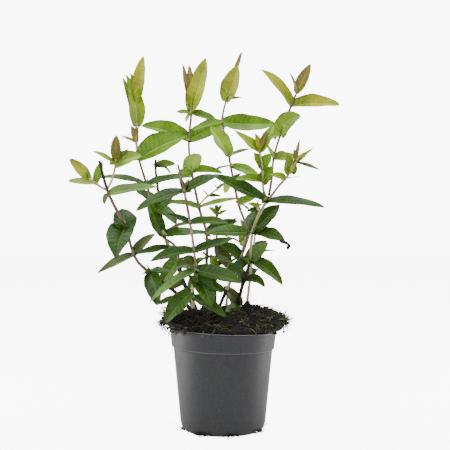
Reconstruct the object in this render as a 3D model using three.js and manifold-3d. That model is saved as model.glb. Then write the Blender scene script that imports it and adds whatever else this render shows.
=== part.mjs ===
// Potted tall tutsan: a leggy evergreen shrub in a round nursery pot.
// Millimetres, +Z up. The origin is the middle of the pot's flat underside,
// +X is the plant's right and +Y its back.

import * as THREE from 'three';
import { mergeVertices } from 'three/addons/utils/BufferGeometryUtils.js';
import Module from 'manifold-3d';

const wasm = await Module();
wasm.setup();

// Driving sizes of the pot
const POT_HEIGHT = 141;
const POT_RIM_RADIUS = 75;
const POT_COLLAR_HEIGHT = 27;
const POT_COLLAR_STEP = 2.4;
const COLLAR_DRAFT = 1;
const POT_EDGE = 0.8;
const POT_BASE_RADIUS = 59.5;
const POT_FOOT_RADIUS = 54;
const POT_BEVEL_HEIGHT = 12;
const BEVEL_SHOULDER = [3.4, 3.6];
const POT_WALL = 1.4;
const POT_FLOOR = 2.4;
const POT_SIDES = 48;
// The thin rim is out of true and sinks towards the right by this much for each millimetre
const RIM_SLOPE = 0.04;
const DRAIN_HOLES = 8;
const DRAIN_HOLE_SIZE = [9, 12, 6];
const DRAIN_HOLE_RADIUS = 56;

// Driving sizes of the root ball and its mossy top
const SOIL_PEAK = [12, 18];
const SOIL_TOP = 165;
const SOIL_EDGE = 145;
const SOIL_SPREAD = 88;
const SHOULDER_AT = [62, 8];
const SHOULDER_RISE = 8;
const SHOULDER_SPREAD = 20;
// The moss spreads over the rim at the sides and the back, and stays inside it at the front
const SIDE_OVERHANG = 11;
const BACK_OVERHANG = 4;
const FRONT_SETBACK = 6;
const MOSS_LIFT = 4;
const MOSS_LIP = 1.5;
const SOIL_SIDES = 30;
// Rings of the mossy top, as shares of its full reach
const SOIL_RINGS = [1, 0.9, 0.74, 0.56, 0.36, 0.16];

// Stems stand this deep in the soil, and widen a little where they leave it
const FOOT_DEPTH = 4;
const FOOT_FLARE = 0.7;
const FLARE_HEIGHT = 14;
// Length of stem between two rings of its skin, and its sides on stems and on shoots
const LIMB_STEP = 22;
const STEM_SIDES = 6;
const SHOOT_SIDES = 4;

// Clear space kept between neighbouring solids
const GAP = 0.3;

// A leaf is this share of its length thick, and its halves fold up by this angle
const LEAF_THICKNESS = 0.02;
const LEAF_FOLD = 20;
// Where along a leaf its outline has a corner, and how its breadth grows and tapers
const LEAF_STATIONS = [0.07, 0.26, 0.55, 0.84];
const SMALL_LEAF_STATIONS = [0.1, 0.38, 0.76];
const SMALL_LEAF = 32;
const LEAF_GROWTH = 0.5;
const LEAF_TAPER = 0.78;
const LEAF_WIDEST = LEAF_GROWTH / (LEAF_GROWTH + LEAF_TAPER);

// Every stem has a route from its foot through its bends to its tip, and its
// radius at the foot and the tip. Stems from the soil have a bare foot up to the
// height in bare, and their leafy length is parted into masses at the heights in
// parts. A shoot starts on the stem named in from. Leaves grow in opposite pairs:
// each row is the height of the joint, and for each leaf its compass heading, rise
// at the root, droop from root to tip, length, breadth, and the turn that shows
// its upper side to the front.
const STEMS = [
  {
    name: 'left_stem', radius: [2.0, 1.5], bare: 208, parts: [262],
    route: [[-33, -12, 150], [-60, -24, 188], [-101, -40, 222], [-119, -48, 244], [-130, -58, 283],
      [-151, -66, 327], [-163, -70, 371]],
    pairs: [
      [220, [290, -25, 50, 55, 24, 20], [20, 15, 25, 30, 16, 35]],
      [245, [185, -16, 10, 57, 20, -45], [20, 48, 12, 38, 17, 45]],
      [283, [248, -27, 44, 56, 38, 0], [85, 55, 28, 46, 31, 0]],
      [327, [5, 16, 16, 66, 21, 42], [230, -30, 60, 17, 8, 20]],
    ],
  },
  {
    name: 'left_low_shoot', from: 'left_stem', radius: [1.2, 1.0],
    route: [[-152, -66, 331], [-162, -70, 337], [-170, -74, 343], [-177, -76, 348]],
    pairs: [
      [341, [205, 14, 15, 38, 9, -30], [70, 70, 20, 34, 12, 20]],
      [347, [188, 48, 4, 37, 16, 75], [130, 60, 15, 21, 7, 0]],
    ],
  },
  {
    name: 'left_high_shoot', from: 'left_stem', radius: [1.2, 1.0],
    route: [[-153, -66, 334], [-148, -58, 345], [-144, -52, 363], [-143, -50, 374]],
    pairs: [
      [365, [200, 42, 20, 36, 12, 40], [12, 36, 30, 38, 26, 50]],
      [373, [90, 95, 10, 33, 15, 0], [20, 42, 5, 24, 7, 30]],
    ],
  },
  {
    name: 'tall_left_stem', radius: [2.0, 1.2], bare: 222, parts: [287, 358, 396],
    route: [[-35, -1, 150], [-56, 14, 205], [-67, 24, 251], [-86, 31, 268], [-98, 42, 303],
      [-110, 50, 341], [-124, 60, 389], [-126, 66, 436], [-125, 68, 462]],
    pairs: [
      [233, [200, -42, 20, 42, 24, 30], [55, 10, 30, 51, 18, 0]],
      [268, [180, 60, -4, 52, 22, 65], [355, 14, 20, 51, 15, 40]],
      [305, [55, 32, 30, 38, 27, 10], [315, 5, 55, 47, 22, 0]],
      [340, [185, 24, 34, 74, 14, 38], [12, 22, 26, 64, 17, 35]],
      [377, [10, 35, 22, 76, 45, 50], [145, 5, 20, 44, 15, 0]],
      [401, [185, 22, -4, 25, 8, 40], [90, 25, 20, 18, 7, 0]],
      [402, [185, 72, 0, 24, 8, 60], [0, 88, 10, 23, 8, 60]],
      [426, [178, 95, 36, 78, 27, 62], [180, 84, 14, 72, 12, 55]],
      [460, [0, 92, 18, 66, 25, 75], [135, 75, 8, 47, 15, 0]],
    ],
  },
  {
    name: 'back_stump', radius: [1.8, 1.4], bare: 238, parts: [280, 340],
    route: [[-30, 7, 150], [-64, 44, 219], [-84, 66, 263], [-98, 88, 349], [-100, 92, 378]],
    pairs: [
      [250, [186, -8, 8, 47, 14, 45], [50, 0, 25, 43, 14, 0]],
      [308, [140, 35, 20, 55, 21, 20], [35, 25, 25, 39, 13, 20]],
      [369, [15, 20, 18, 30, 15, 45], [205, 25, 20, 9, 4, 0]],
      [370, [340, 5, 70, 31, 5, 20]],
    ],
  },
  {
    name: 'tall_back_stem', radius: [2.0, 1.2], bare: 224, parts: [290, 333, 428],
    route: [[-29, 15, 150], [-24, 36, 218], [-24, 54, 270], [-35, 70, 307], [-48, 94, 369],
      [-51, 106, 407], [-48, 114, 442], [-48, 116, 460]],
    pairs: [
      [236, [320, 5, 30, 49, 19, 0], [215, -22, 25, 36, 14, 0]],
      [270, [15, 25, 20, 50, 18, 25], [178, 0, 12, 56, 11, 25]],
      [307, [188, 20, 30, 46, 14, 38], [12, 18, 10, 62, 13, 30]],
      [360, [285, 62, 25, 38, 30, 0], [15, 24, 44, 50, 15, 30]],
      [407, [190, 30, 25, 74, 36, 50], [13, 38, 22, 57, 25, 50]],
      [448, [190, 8, 10, 23, 11, 45], [350, -8, 12, 38, 18, 42]],
      [449, [240, -30, 30, 23, 8, 0]],
      [452, [0, 78, 5, 79, 28, 75], [95, 80, 6, 70, 12, 0]],
      [458, [180, 77, -2, 66, 11, 60], [0, 90, 0, 64, 9, 60]],
    ],
  },
  {
    name: 'back_twig', from: 'tall_back_stem', radius: [0.9, 0.8],
    route: [[-35, 71, 311], [-25, 74, 322], [-13, 78, 331], [-7, 80, 335]],
    pairs: [
      [324, [20, 10, 20, 22, 4, 0], [220, 50, 15, 13, 4, 0]],
      [334, [25, 45, 10, 12, 4, 0], [215, 55, 10, 12, 4, 0]],
    ],
  },
  {
    name: 'tall_right_stem', radius: [1.8, 1.1], bare: 180, parts: [258, 330, 405],
    route: [[-13, 3, 150], [4, -4, 192], [24, -8, 237], [34, 2, 273], [22, 26, 313],
      [11, 50, 367], [7, 58, 392], [-1, 70, 434], [5, 74, 466]],
    pairs: [
      [185, [310, -25, 30, 30, 10, 30]],
      [189, [300, -10, 40, 38, 17, 0], [150, 55, 30, 25, 12, 0]],
      [240, [155, -15, 50, 32, 12, 0], [295, 5, 50, 29, 12, 0]],
      [241, [195, 35, 15, 37, 21, 45]],
      [273, [185, 8, 14, 58, 25, 45], [60, 60, 20, 42, 21, 0]],
      [313, [350, 28, 20, 20, 12, 45], [45, -5, 40, 25, 7, 0]],
      [346, [240, -25, 50, 23, 12, 0], [55, 40, 30, 27, 11, 0]],
      [367, [350, -8, 26, 47, 17, 50], [135, 0, 20, 34, 10, 0]],
      [382, [135, 60, 20, 56, 27, 30], [25, 25, 18, 39, 10, 30]],
      [431, [5, 3, 8, 77, 19, 60], [200, -5, 20, 48, 16, 40]],
      [462, [3, 78, 4, 54, 29, 75], [25, 65, -6, 77, 11, 0]],
      [464, [35, 75, 4, 75, 12, 0], [25, 20, 10, 25, 4, 0]],
    ],
  },
  {
    name: 'right_stem', radius: [2.0, 1.3], bare: 190, parts: [255],
    route: [[16, 12, 150], [27, 0, 200], [36, -12, 231], [40, -24, 272], [48, -32, 297],
      [60, -40, 319], [62, -40, 324]],
    pairs: [
      [203, [345, 45, 110, 36, 19, 30], [115, 55, 30, 43, 17, 0]],
      [237, [345, -15, 30, 57, 20, 38], [10, 48, 12, 35, 22, 65]],
      [275, [15, 42, 5, 54, 26, 45], [335, 0, 30, 49, 18, 32]],
      [317, [192, 25, 0, 82, 23, 38], [355, 4, 20, 80, 19, 38]],
    ],
  },
  {
    name: 'right_bud', from: 'right_stem', radius: [1.1, 0.9],
    route: [[51, -33, 300], [48, -43, 305], [45, -53, 311]],
    pairs: [
      [305, [190, 10, 30, 16, 10, 45], [100, 25, 10, 12, 5, 0]],
      [310, [195, 28, 20, 14, 10, 50], [20, 30, 20, 10, 5, 30]],
    ],
  },
  {
    name: 'right_tall_shoot', from: 'right_stem', radius: [1.4, 1.0], parts: [428],
    route: [[62, -40, 325], [66, -36, 348], [69, -32, 377], [78, -26, 407], [93, -20, 447], [101, -18, 466]],
    pairs: [
      [374, [15, 15, 28, 36, 20, 42], [230, 55, 10, 28, 10, 10]],
      [407, [0, 92, 100, 42, 29, 65], [180, 20, 110, 32, 16, 55]],
      [447, [195, 60, 25, 63, 22, 60], [5, 10, 18, 67, 24, 50]],
      [465, [0, 69, 4, 40, 17, 75], [200, 72, 6, 30, 8, 0]],
    ],
  },
  {
    name: 'right_mid_shoot', from: 'right_stem', radius: [1.3, 1.0], parts: [373],
    route: [[59, -41, 321], [54, -51, 334], [53, -62, 358], [48, -70, 385]],
    pairs: [
      [343, [190, 22, 34, 38, 16, 38], [350, 70, 6, 27, 20, 70]],
      [356, [230, 40, 15, 13, 5, 0], [55, 55, 15, 18, 7, 0]],
      [362, [195, 58, 4, 26, 15, 60], [350, 65, 8, 22, 16, 65]],
      [382, [195, 40, 0, 46, 19, 50], [0, 62, -4, 40, 18, 60]],
      [384, [200, 80, 5, 24, 9, 60], [40, 75, 5, 20, 6, 0]],
    ],
  },
  {
    name: 'right_low_shoot', from: 'right_stem', radius: [1.3, 1.0],
    route: [[62, -42, 320], [73, -58, 336], [86, -72, 352], [97, -84, 370]],
    pairs: [
      [347, [190, 25, 20, 22, 13, 50], [335, 15, 20, 23, 5, 0]],
      [355, [180, 84, 0, 25, 20, 75], [285, 10, 40, 17, 7, 0]],
      [366, [15, 80, 4, 33, 7, 40], [235, -35, 40, 18, 8, 0]],
      [368, [350, 42, 4, 30, 11, 45], [350, -12, 10, 32, 9, 30]],
      [369, [305, 45, 10, 18, 7, 0], [170, 80, 5, 17, 8, 60]],
    ],
  },
  {
    name: 'front_stem', radius: [2.1, 1.5], bare: 186, parts: [237, 310],
    route: [[-40, -19, 150], [-41, -40, 195], [-37, -56, 225], [-38, -68, 251], [-43, -80, 289],
      [-50, -90, 330], [-58, -96, 365]],
    pairs: [
      [188, [345, -10, 24, 52, 21, 42]],
      [195, [195, -35, 25, 56, 27, 45]],
      [217, [335, -36, 36, 46, 28, 20], [115, -20, 60, 30, 10, 0]],
      [225, [200, -26, 22, 76, 17, 35], [350, -4, 16, 66, 24, 50]],
      [232, [190, 50, 60, 20, 10, 40]],
      [251, [190, 0, 22, 60, 20, 38], [10, 20, 6, 56, 18, 40]],
      [289, [165, 25, 12, 33, 8, 0], [352, 10, 20, 51, 18, 38]],
      [330, [190, -5, 30, 69, 22, 35], [355, 32, 18, 47, 19, 40]],
      [331, [200, 75, 5, 18, 8, 60], [55, 60, 10, 21, 6, 0]],
    ],
  },
  {
    name: 'back_short_stem', radius: [1.6, 1.2], bare: 206, parts: [262],
    route: [[-12, 23, 150], [-10, 62, 227], [-9, 84, 284], [-9, 92, 311]],
    pairs: [
      [218, [95, 62, 12, 22, 13, 0], [35, 40, 20, 44, 17, 0]],
      [248, [330, -25, 35, 38, 17, 25], [140, 35, 25, 30, 12, 0]],
      [277, [145, 35, 20, 30, 12, 0], [35, 30, 20, 40, 16, 0]],
      [296, [205, 55, 10, 22, 9, 0], [15, 30, 10, 24, 7, 0]],
      [300, [55, 50, 10, 18, 7, 0]],
    ],
  },
  {
    name: 'back_low_stem', radius: [1.6, 1.0], bare: 194, parts: [],
    route: [[3, 25, 150], [8, 54, 192], [19, 78, 216], [27, 98, 238], [34, 114, 264]],
    pairs: [
      [206, [75, 25, 40, 50, 20, 0], [160, 30, 40, 40, 16, 0]],
      [228, [120, 35, 35, 48, 19, 0], [35, 20, 35, 36, 15, 0]],
      [250, [85, 45, 30, 44, 18, 0], [170, 40, 30, 34, 13, 0]],
      [263, [60, 65, 10, 34, 13, 0], [125, 70, 10, 30, 11, 0]],
    ],
  },
  {
    name: 'back_right_stem', radius: [1.6, 1.0], bare: 196, parts: [],
    route: [[31, 24, 150], [37, 46, 190], [41, 66, 222], [46, 86, 258], [50, 96, 286]],
    pairs: [
      [208, [70, 30, 40, 44, 18, 0], [200, 15, 40, 30, 13, 0]],
      [238, [60, 40, 35, 50, 20, 0], [340, 25, 30, 36, 14, 0]],
      [268, [45, 45, 30, 46, 18, 0], [160, 50, 25, 34, 13, 0]],
      [285, [80, 70, 8, 36, 13, 0], [10, 70, 10, 30, 10, 0]],
    ],
  },
];

const potPlastic = new THREE.MeshStandardMaterial({ color: 0x434446, roughness: 0.45, metalness: 0 });
const peat = new THREE.MeshStandardMaterial({ color: 0x2a211a, roughness: 0.95, metalness: 0 });
const bark = new THREE.MeshStandardMaterial({ color: 0x6b5a3c, roughness: 0.7, metalness: 0 });
const leafGreen = new THREE.MeshStandardMaterial({ color: 0x5d8a3a, roughness: 0.5, metalness: 0 });

// Turns a closed geometry into a solid that can be joined and cut
function solidOf(geometry) {
  geometry.deleteAttribute('normal');
  geometry.deleteAttribute('uv');
  const merged = mergeVertices(geometry, 1e-4);
  return new wasm.Manifold(new wasm.Mesh({
    numProp: 3,
    vertProperties: new Float32Array(merged.attributes.position.array),
    triVerts: new Uint32Array(merged.index.array),
  }));
}

// Turns a solid back into a named mesh
function meshOf(name, solid, material) {
  const { vertProperties, triVerts } = solid.getMesh();
  const geometry = new THREE.BufferGeometry();
  geometry.setAttribute('position', new THREE.BufferAttribute(Float32Array.from(vertProperties), 3));
  geometry.setIndex(new THREE.BufferAttribute(Uint32Array.from(triVerts), 1));
  geometry.computeVertexNormals();
  const mesh = new THREE.Mesh(geometry, material);
  mesh.name = name;
  return mesh;
}

// Skins a row of closed rings from a first point to a last point
function skinRings(rings, first, last) {
  const sides = rings[0].length;
  const points = [first, ...rings.flat(), last];
  const end = points.length - 1;
  const faces = [];
  for (let side = 0; side < sides; side += 1) {
    const next = (side + 1) % sides;
    faces.push(0, 1 + next, 1 + side);
    for (let row = 0; row < rings.length - 1; row += 1) {
      const low = 1 + row * sides;
      const high = low + sides;
      faces.push(low + side, low + next, high + next, low + side, high + next, high + side);
    }
    faces.push(end, end - sides + side, end - sides + next);
  }
  const geometry = new THREE.BufferGeometry();
  geometry.setAttribute('position', new THREE.Float32BufferAttribute(points.flatMap((p) => p.toArray()), 3));
  geometry.setIndex(faces);
  return geometry;
}

const toVector = ([x, y, z]) => new THREE.Vector3(x, y, z);
const rimHeight = (x) => POT_HEIGHT - RIM_SLOPE * x;

// The place along a rising route where it passes a height, from 0 at its foot to 1 at its tip
function placeAtHeight(route, height) {
  let low = 0;
  let high = 1;
  for (let step = 0; step < 24; step += 1) {
    const middle = (low + high) / 2;
    if (route.getPoint(middle).z < height) {
      low = middle;
    } else {
      high = middle;
    }
  }
  return low;
}

// One tapering length of a stem between two places along its route
function limb(stem, start, end, grow = 0) {
  const pieces = Math.max(2, Math.round((end - start) * stem.curve.getLength() / LIMB_STEP));
  const sides = stem.from ? SHOOT_SIDES : STEM_SIDES;
  const rings = [];
  let across = new THREE.Vector3(0, 1, 0);
  for (let piece = 0; piece <= pieces; piece += 1) {
    const place = start + (end - start) * piece / pieces;
    const middle = stem.curve.getPoint(place);
    const along = stem.curve.getTangent(place);
    across = across.clone().addScaledVector(along, -across.dot(along)).normalize();
    const other = along.clone().cross(across);
    const flare = stem.from ? 0 : 1 - (middle.z - SOIL_TOP) / FLARE_HEIGHT;
    const radius = THREE.MathUtils.lerp(stem.radius[0], stem.radius[1], place) + grow
      + FOOT_FLARE * THREE.MathUtils.clamp(flare, 0, 1);
    rings.push(Array.from({ length: sides }, (_, side) => {
      const angle = side * 2 * Math.PI / sides;
      return middle.clone()
        .addScaledVector(across, radius * Math.cos(angle))
        .addScaledVector(other, radius * Math.sin(angle));
    }));
  }
  return solidOf(skinRings(rings, stem.curve.getPoint(start), stem.curve.getPoint(end)));
}

// One leaf: a folded blade whose rib starts on the stem's middle line and bends down evenly
function leaf(root, [heading, rise, droop, length, breadth, turn]) {
  const rad = THREE.MathUtils.degToRad;
  const outward = new THREE.Vector3(Math.cos(rad(heading)), Math.sin(rad(heading)), 0);
  const sideways = new THREE.Vector3(-Math.sin(rad(heading)), Math.cos(rad(heading)), 0);
  const roll = rad(turn) * (outward.x < 0 ? -1 : 1);
  const steps = 12;
  const spine = [root.clone()];
  for (let step = 0; step < steps; step += 1) {
    const pitch = rad(rise - droop * (step + 0.5) / steps);
    spine.push(spine[step].clone()
      .addScaledVector(outward, Math.cos(pitch) * length / steps)
      .add(new THREE.Vector3(0, 0, Math.sin(pitch) * length / steps)));
  }
  const stations = length > SMALL_LEAF ? LEAF_STATIONS : SMALL_LEAF_STATIONS;
  const rings = stations.map((station) => {
    const step = Math.min(steps - 1, Math.floor(station * steps));
    const rib = spine[step].clone().lerp(spine[step + 1], station * steps - step);
    const pitch = rad(rise - droop * station);
    const flat = new THREE.Vector3(0, 0, Math.cos(pitch)).addScaledVector(outward, -Math.sin(pitch));
    const across = sideways.clone().multiplyScalar(Math.cos(roll)).addScaledVector(flat, Math.sin(roll));
    const upper = flat.clone().multiplyScalar(Math.cos(roll)).addScaledVector(sideways, -Math.sin(roll));
    const swell = (station / LEAF_WIDEST) ** LEAF_GROWTH * ((1 - station) / (1 - LEAF_WIDEST)) ** LEAF_TAPER;
    const half = breadth / 2 * swell;
    const lift = half * Math.sin(rad(LEAF_FOLD));
    const spread = half * Math.cos(rad(LEAF_FOLD));
    const thick = length * LEAF_THICKNESS / 2;
    return [
      rib.clone().addScaledVector(across, spread).addScaledVector(upper, lift),
      rib.clone().addScaledVector(upper, thick),
      rib.clone().addScaledVector(across, -spread).addScaledVector(upper, lift),
      rib.clone().addScaledVector(upper, -thick),
    ];
  });
  return solidOf(skinRings(rings, root, spine[steps]));
}

// A mass of foliage: a length of stem with its leaves fused on
function foliage(stem, start, end) {
  let mass = limb(stem, start, end);
  for (const [height, ...leaves] of stem.pairs) {
    const place = placeAtHeight(stem.curve, height);
    if (place > start && place < end) {
      for (const values of leaves) {
        mass = mass.add(leaf(stem.curve.getPoint(place), values));
      }
    }
  }
  return mass;
}

// Sinks the pot's upper half towards the right, as its rim is out of true
function leanRim(geometry) {
  const place = geometry.attributes.position;
  for (let i = 0; i < place.count; i += 1) {
    const share = Math.max(0, place.getZ(i) / POT_HEIGHT);
    place.setZ(i, place.getZ(i) - RIM_SLOPE * place.getX(i) * share * share);
  }
  return geometry;
}

// The outer radius of the pot's tapering wall at a height
function potRadius(height) {
  const underCollar = POT_RIM_RADIUS - POT_COLLAR_STEP - COLLAR_DRAFT;
  return THREE.MathUtils.mapLinear(height, POT_BEVEL_HEIGHT, POT_HEIGHT, POT_BASE_RADIUS, underCollar);
}

function makePot() {
  const collarFoot = POT_HEIGHT - POT_COLLAR_HEIGHT;
  const outline = [
    [0, 0],
    [POT_FOOT_RADIUS, 0],
    [POT_FOOT_RADIUS + BEVEL_SHOULDER[0], BEVEL_SHOULDER[1]],
    [POT_BASE_RADIUS, POT_BEVEL_HEIGHT],
    [potRadius(collarFoot), collarFoot],
    [potRadius(collarFoot) + POT_COLLAR_STEP, collarFoot + POT_EDGE],
    [POT_RIM_RADIUS, POT_HEIGHT - POT_EDGE],
    [POT_RIM_RADIUS - POT_EDGE, POT_HEIGHT],
    [POT_RIM_RADIUS - POT_WALL - POT_COLLAR_STEP, POT_HEIGHT],
    [potRadius(collarFoot) - POT_WALL, collarFoot],
    [POT_BASE_RADIUS - POT_WALL, POT_BEVEL_HEIGHT],
    [POT_FOOT_RADIUS, POT_FLOOR],
    [0, POT_FLOOR],
  ].map(([radius, height]) => new THREE.Vector2(radius, height));
  const lathe = new THREE.LatheGeometry(outline, POT_SIDES);
  lathe.rotateX(Math.PI / 2);
  let pot = solidOf(leanRim(lathe));
  for (let hole = 0; hole < DRAIN_HOLES; hole += 1) {
    const angle = (hole + 0.3) * 2 * Math.PI / DRAIN_HOLES;
    const cutter = new THREE.BoxGeometry(...DRAIN_HOLE_SIZE);
    cutter.translate(DRAIN_HOLE_RADIUS, 0, POT_FLOOR / 2);
    cutter.rotateZ(angle);
    pot = pot.subtract(solidOf(cutter));
  }
  return pot;
}

// Height of the mossy top of the root ball, with shallow lumps
function soilHeight(x, y) {
  const away = Math.hypot(x - SOIL_PEAK[0], y - SOIL_PEAK[1]) / SOIL_SPREAD;
  const shoulder = Math.hypot(x - SHOULDER_AT[0], y - SHOULDER_AT[1]) / SHOULDER_SPREAD;
  const lumps = 1.4 * Math.sin(x * 0.21 + 1) * Math.cos(y * 0.18) + 0.8 * Math.sin(x * 0.47 - y * 0.39);
  const mound = SOIL_EDGE + (SOIL_TOP - SOIL_EDGE) * (1 - Math.min(1, away) ** 3);
  return mound + SHOULDER_RISE * Math.exp(-shoulder * shoulder / 2) + lumps;
}

function makeSoil() {
  const collarFoot = POT_HEIGHT - POT_COLLAR_HEIGHT;
  const inside = (height) => potRadius(height) * Math.cos(Math.PI / POT_SIDES) - POT_WALL - 2 * GAP;
  const overhang = (c, s) => SIDE_OVERHANG * c ** 4 + (s < 0 ? -FRONT_SETBACK : BACK_OVERHANG) * s * s;
  const lip = (x, c) => rimHeight(x) + MOSS_LIP + MOSS_LIFT * Math.max(0, -c);
  const ring = (radiusAt, heightAt) => Array.from({ length: SOIL_SIDES }, (_, side) => {
    const angle = side * 2 * Math.PI / SOIL_SIDES;
    const c = Math.cos(angle);
    const s = Math.sin(angle);
    const radius = radiusAt(c, s);
    return toVector([c * radius, s * radius, heightAt(c * radius, s * radius, c)]);
  });
  // The fill stands on the floor and follows the wall up to the rim
  const floor = POT_FLOOR + GAP;
  const rings = [
    ring(() => POT_FOOT_RADIUS - BEVEL_SHOULDER[0], () => floor),
    ring(() => inside(POT_BEVEL_HEIGHT) - 1, () => POT_BEVEL_HEIGHT + BEVEL_SHOULDER[1]),
    ring(() => inside(collarFoot), (x) => rimHeight(x) - POT_COLLAR_HEIGHT),
    ring(() => inside(collarFoot), (x) => rimHeight(x)),
    ring((c, s) => POT_RIM_RADIUS + overhang(c, s) * 0.6, (x, y, c) => lip(x, c)),
    ring((c, s) => POT_RIM_RADIUS + overhang(c, s), (x, y, c) => (lip(x, c) + soilHeight(x, y)) / 2 + 1),
  ];
  for (const share of SOIL_RINGS) {
    rings.push(ring(
      (c, s) => (POT_RIM_RADIUS + overhang(c, s) - 2 * MOSS_LIP) * share,
      (x, y) => Math.max(soilHeight(x, y), rimHeight(x) + 2 * MOSS_LIP),
    ));
  }
  return solidOf(skinRings(rings, toVector([0, 0, floor]), toVector([0, 0, soilHeight(0, 0)])));
}

// Works out each stem's curve
const stemsByName = {};
for (const stem of STEMS) {
  stem.curve = new THREE.CatmullRomCurve3(stem.route.map(toVector), false, 'catmullrom', 0.5);
  stemsByName[stem.name] = stem;
}

const plant = new THREE.Group();
let soil = makeSoil();

// Shoots are cut clear of the stem that carries them, past its bare foot
const CARRIER_START = 0.3;

for (const stem of STEMS) {
  const { name, from, bare, parts = [] } = stem;
  const cuts = parts.map((height) => placeAtHeight(stem.curve, height));
  const half = GAP / 2 / stem.curve.getLength();
  let start = 0;
  if (bare) {
    // The foot stands in a shallow pocket in the soil
    const ground = soilHeight(stem.route[0][0], stem.route[0][1]) - FOOT_DEPTH;
    const foot = placeAtHeight(stem.curve, ground);
    const top = placeAtHeight(stem.curve, bare);
    const pocket = placeAtHeight(stem.curve, ground - 2 * GAP);
    soil = soil.subtract(limb(stem, pocket, top, 2 * GAP));
    plant.add(meshOf(`${name}_foot`, limb(stem, foot, top - half), bark));
    start = top + half;
  }
  const ends = [...cuts, 1];
  ends.forEach((end, index) => {
    const last = index === ends.length - 1;
    let mass = foliage(stem, start, last ? 1 : end - half);
    if (from && index === 0) {
      const carrier = stemsByName[from];
      mass = mass.subtract(limb(carrier, CARRIER_START, 1, GAP));
      mass = mass.decompose().sort((a, b) => b.volume() - a.volume())[0];
    }
    plant.add(meshOf(`${name}_leaves_${index + 1}`, mass, leafGreen));
    start = end + half;
  });
}

plant.add(meshOf('pot', makePot(), potPlastic));
plant.add(meshOf('soil', soil, peat));

export default plant;
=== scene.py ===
import math
import random

import bpy
from mathutils import Matrix, Vector, noise


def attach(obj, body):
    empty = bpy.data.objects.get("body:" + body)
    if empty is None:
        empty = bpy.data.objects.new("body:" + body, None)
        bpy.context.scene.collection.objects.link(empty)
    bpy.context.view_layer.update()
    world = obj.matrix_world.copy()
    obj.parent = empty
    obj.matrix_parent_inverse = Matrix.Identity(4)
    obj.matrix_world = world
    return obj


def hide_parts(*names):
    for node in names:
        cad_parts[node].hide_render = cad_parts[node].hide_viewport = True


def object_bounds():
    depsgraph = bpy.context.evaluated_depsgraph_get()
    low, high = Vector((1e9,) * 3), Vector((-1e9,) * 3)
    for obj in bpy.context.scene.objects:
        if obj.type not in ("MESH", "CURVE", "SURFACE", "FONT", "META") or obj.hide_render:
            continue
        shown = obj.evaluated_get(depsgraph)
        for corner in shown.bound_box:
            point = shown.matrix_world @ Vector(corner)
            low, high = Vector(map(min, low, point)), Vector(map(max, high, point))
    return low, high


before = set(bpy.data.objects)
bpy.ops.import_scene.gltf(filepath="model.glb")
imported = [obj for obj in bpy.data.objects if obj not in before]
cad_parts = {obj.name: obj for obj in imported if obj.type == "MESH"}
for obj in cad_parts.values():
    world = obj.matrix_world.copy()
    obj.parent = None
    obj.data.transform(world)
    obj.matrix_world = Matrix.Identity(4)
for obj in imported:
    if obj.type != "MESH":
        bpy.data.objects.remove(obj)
cad_low, cad_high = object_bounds()

# Camera
# The photograph's own view: level with the crown's middle, about 1.4 m in front
# of the pot, looking very slightly down, with a longish lens.
CAMERA_PLACE = (0.0028, -1.414, 0.327)
CAMERA_TILT = 88.26
CAMERA_LENS = 81.44
CAMERA_SENSOR = 36.0


def add_object(name, data):
    made = bpy.data.objects.new(name, data)
    bpy.context.scene.collection.objects.link(made)
    return made


camera_data = bpy.data.cameras.new("camera")
camera_data.lens = CAMERA_LENS
camera_data.sensor_width = CAMERA_SENSOR
camera = add_object("camera", camera_data)
camera.location = CAMERA_PLACE
camera.rotation_euler = (math.radians(CAMERA_TILT), 0, 0)
bpy.context.scene.camera = camera

# Pot
# A thin round nursery pot of dark grey plastic, moulded in one piece: a tapering
# wall with a stiff collar at the rim, a bevelled foot and slots for drainage. The
# rim is out of true and sinks towards the right.
MM = 0.001
POT_HEIGHT = 141
POT_RIM_RADIUS = 75
POT_COLLAR_HEIGHT = 27
POT_COLLAR_STEP = 2.4
COLLAR_DRAFT = 1
COLLAR_FOOT = POT_HEIGHT - POT_COLLAR_HEIGHT
POT_EDGE = 0.8
# A slight bead round the rim: how far it stands out, and its foot and top from the rim
BEAD_STEP = 0.9
BEAD_FOOT = 4.2
BEAD_TOP = 3.0
POT_BASE_RADIUS = 59.5
POT_FOOT_RADIUS = 54
POT_BEVEL_HEIGHT = 12
BEVEL_SHOULDER = (3.4, 3.6)
POT_WALL = 1.4
POT_FLOOR = 2.4
POT_SIDES = 160
RIM_SLOPE = 0.04
OUT_OF_ROUND = 0.0035
OUT_OF_ROUND_TURN = 0.6
CORNER_STEPS = 4
CORNER_SHARE = 0.45
WALL_STEP = 4.0
# A painted highlight on the lip under the collar and on the rim: how high it reaches above the collar's
# foot, and the share of the collar's step it starts from
PAINTED_HIGHLIGHT_LIP = 1.6
PAINTED_HIGHLIGHT_FROM = 0.6
DRAIN_HOLES = 8
DRAIN_HOLE_SIZE = (9, 12, 6)
DRAIN_HOLE_RADIUS = 56
DRAIN_HOLE_PHASE = 0.3
BOX_FACES = ((0, 1, 3, 2), (4, 6, 7, 5), (0, 4, 5, 1), (2, 3, 7, 6), (0, 2, 6, 4), (1, 5, 7, 3))
MOTTLE_SCALE = 28.0
DUST_SCALE = 900.0
GRAIN_SCALE = 1400.0


def pot_radius(height):
    under_collar = POT_RIM_RADIUS - POT_COLLAR_STEP - COLLAR_DRAFT
    share = (height - POT_BEVEL_HEIGHT) / (POT_HEIGHT - POT_BEVEL_HEIGHT)
    return POT_BASE_RADIUS + (under_collar - POT_BASE_RADIUS) * share


UNDER_COLLAR = pot_radius(COLLAR_FOOT)
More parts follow.
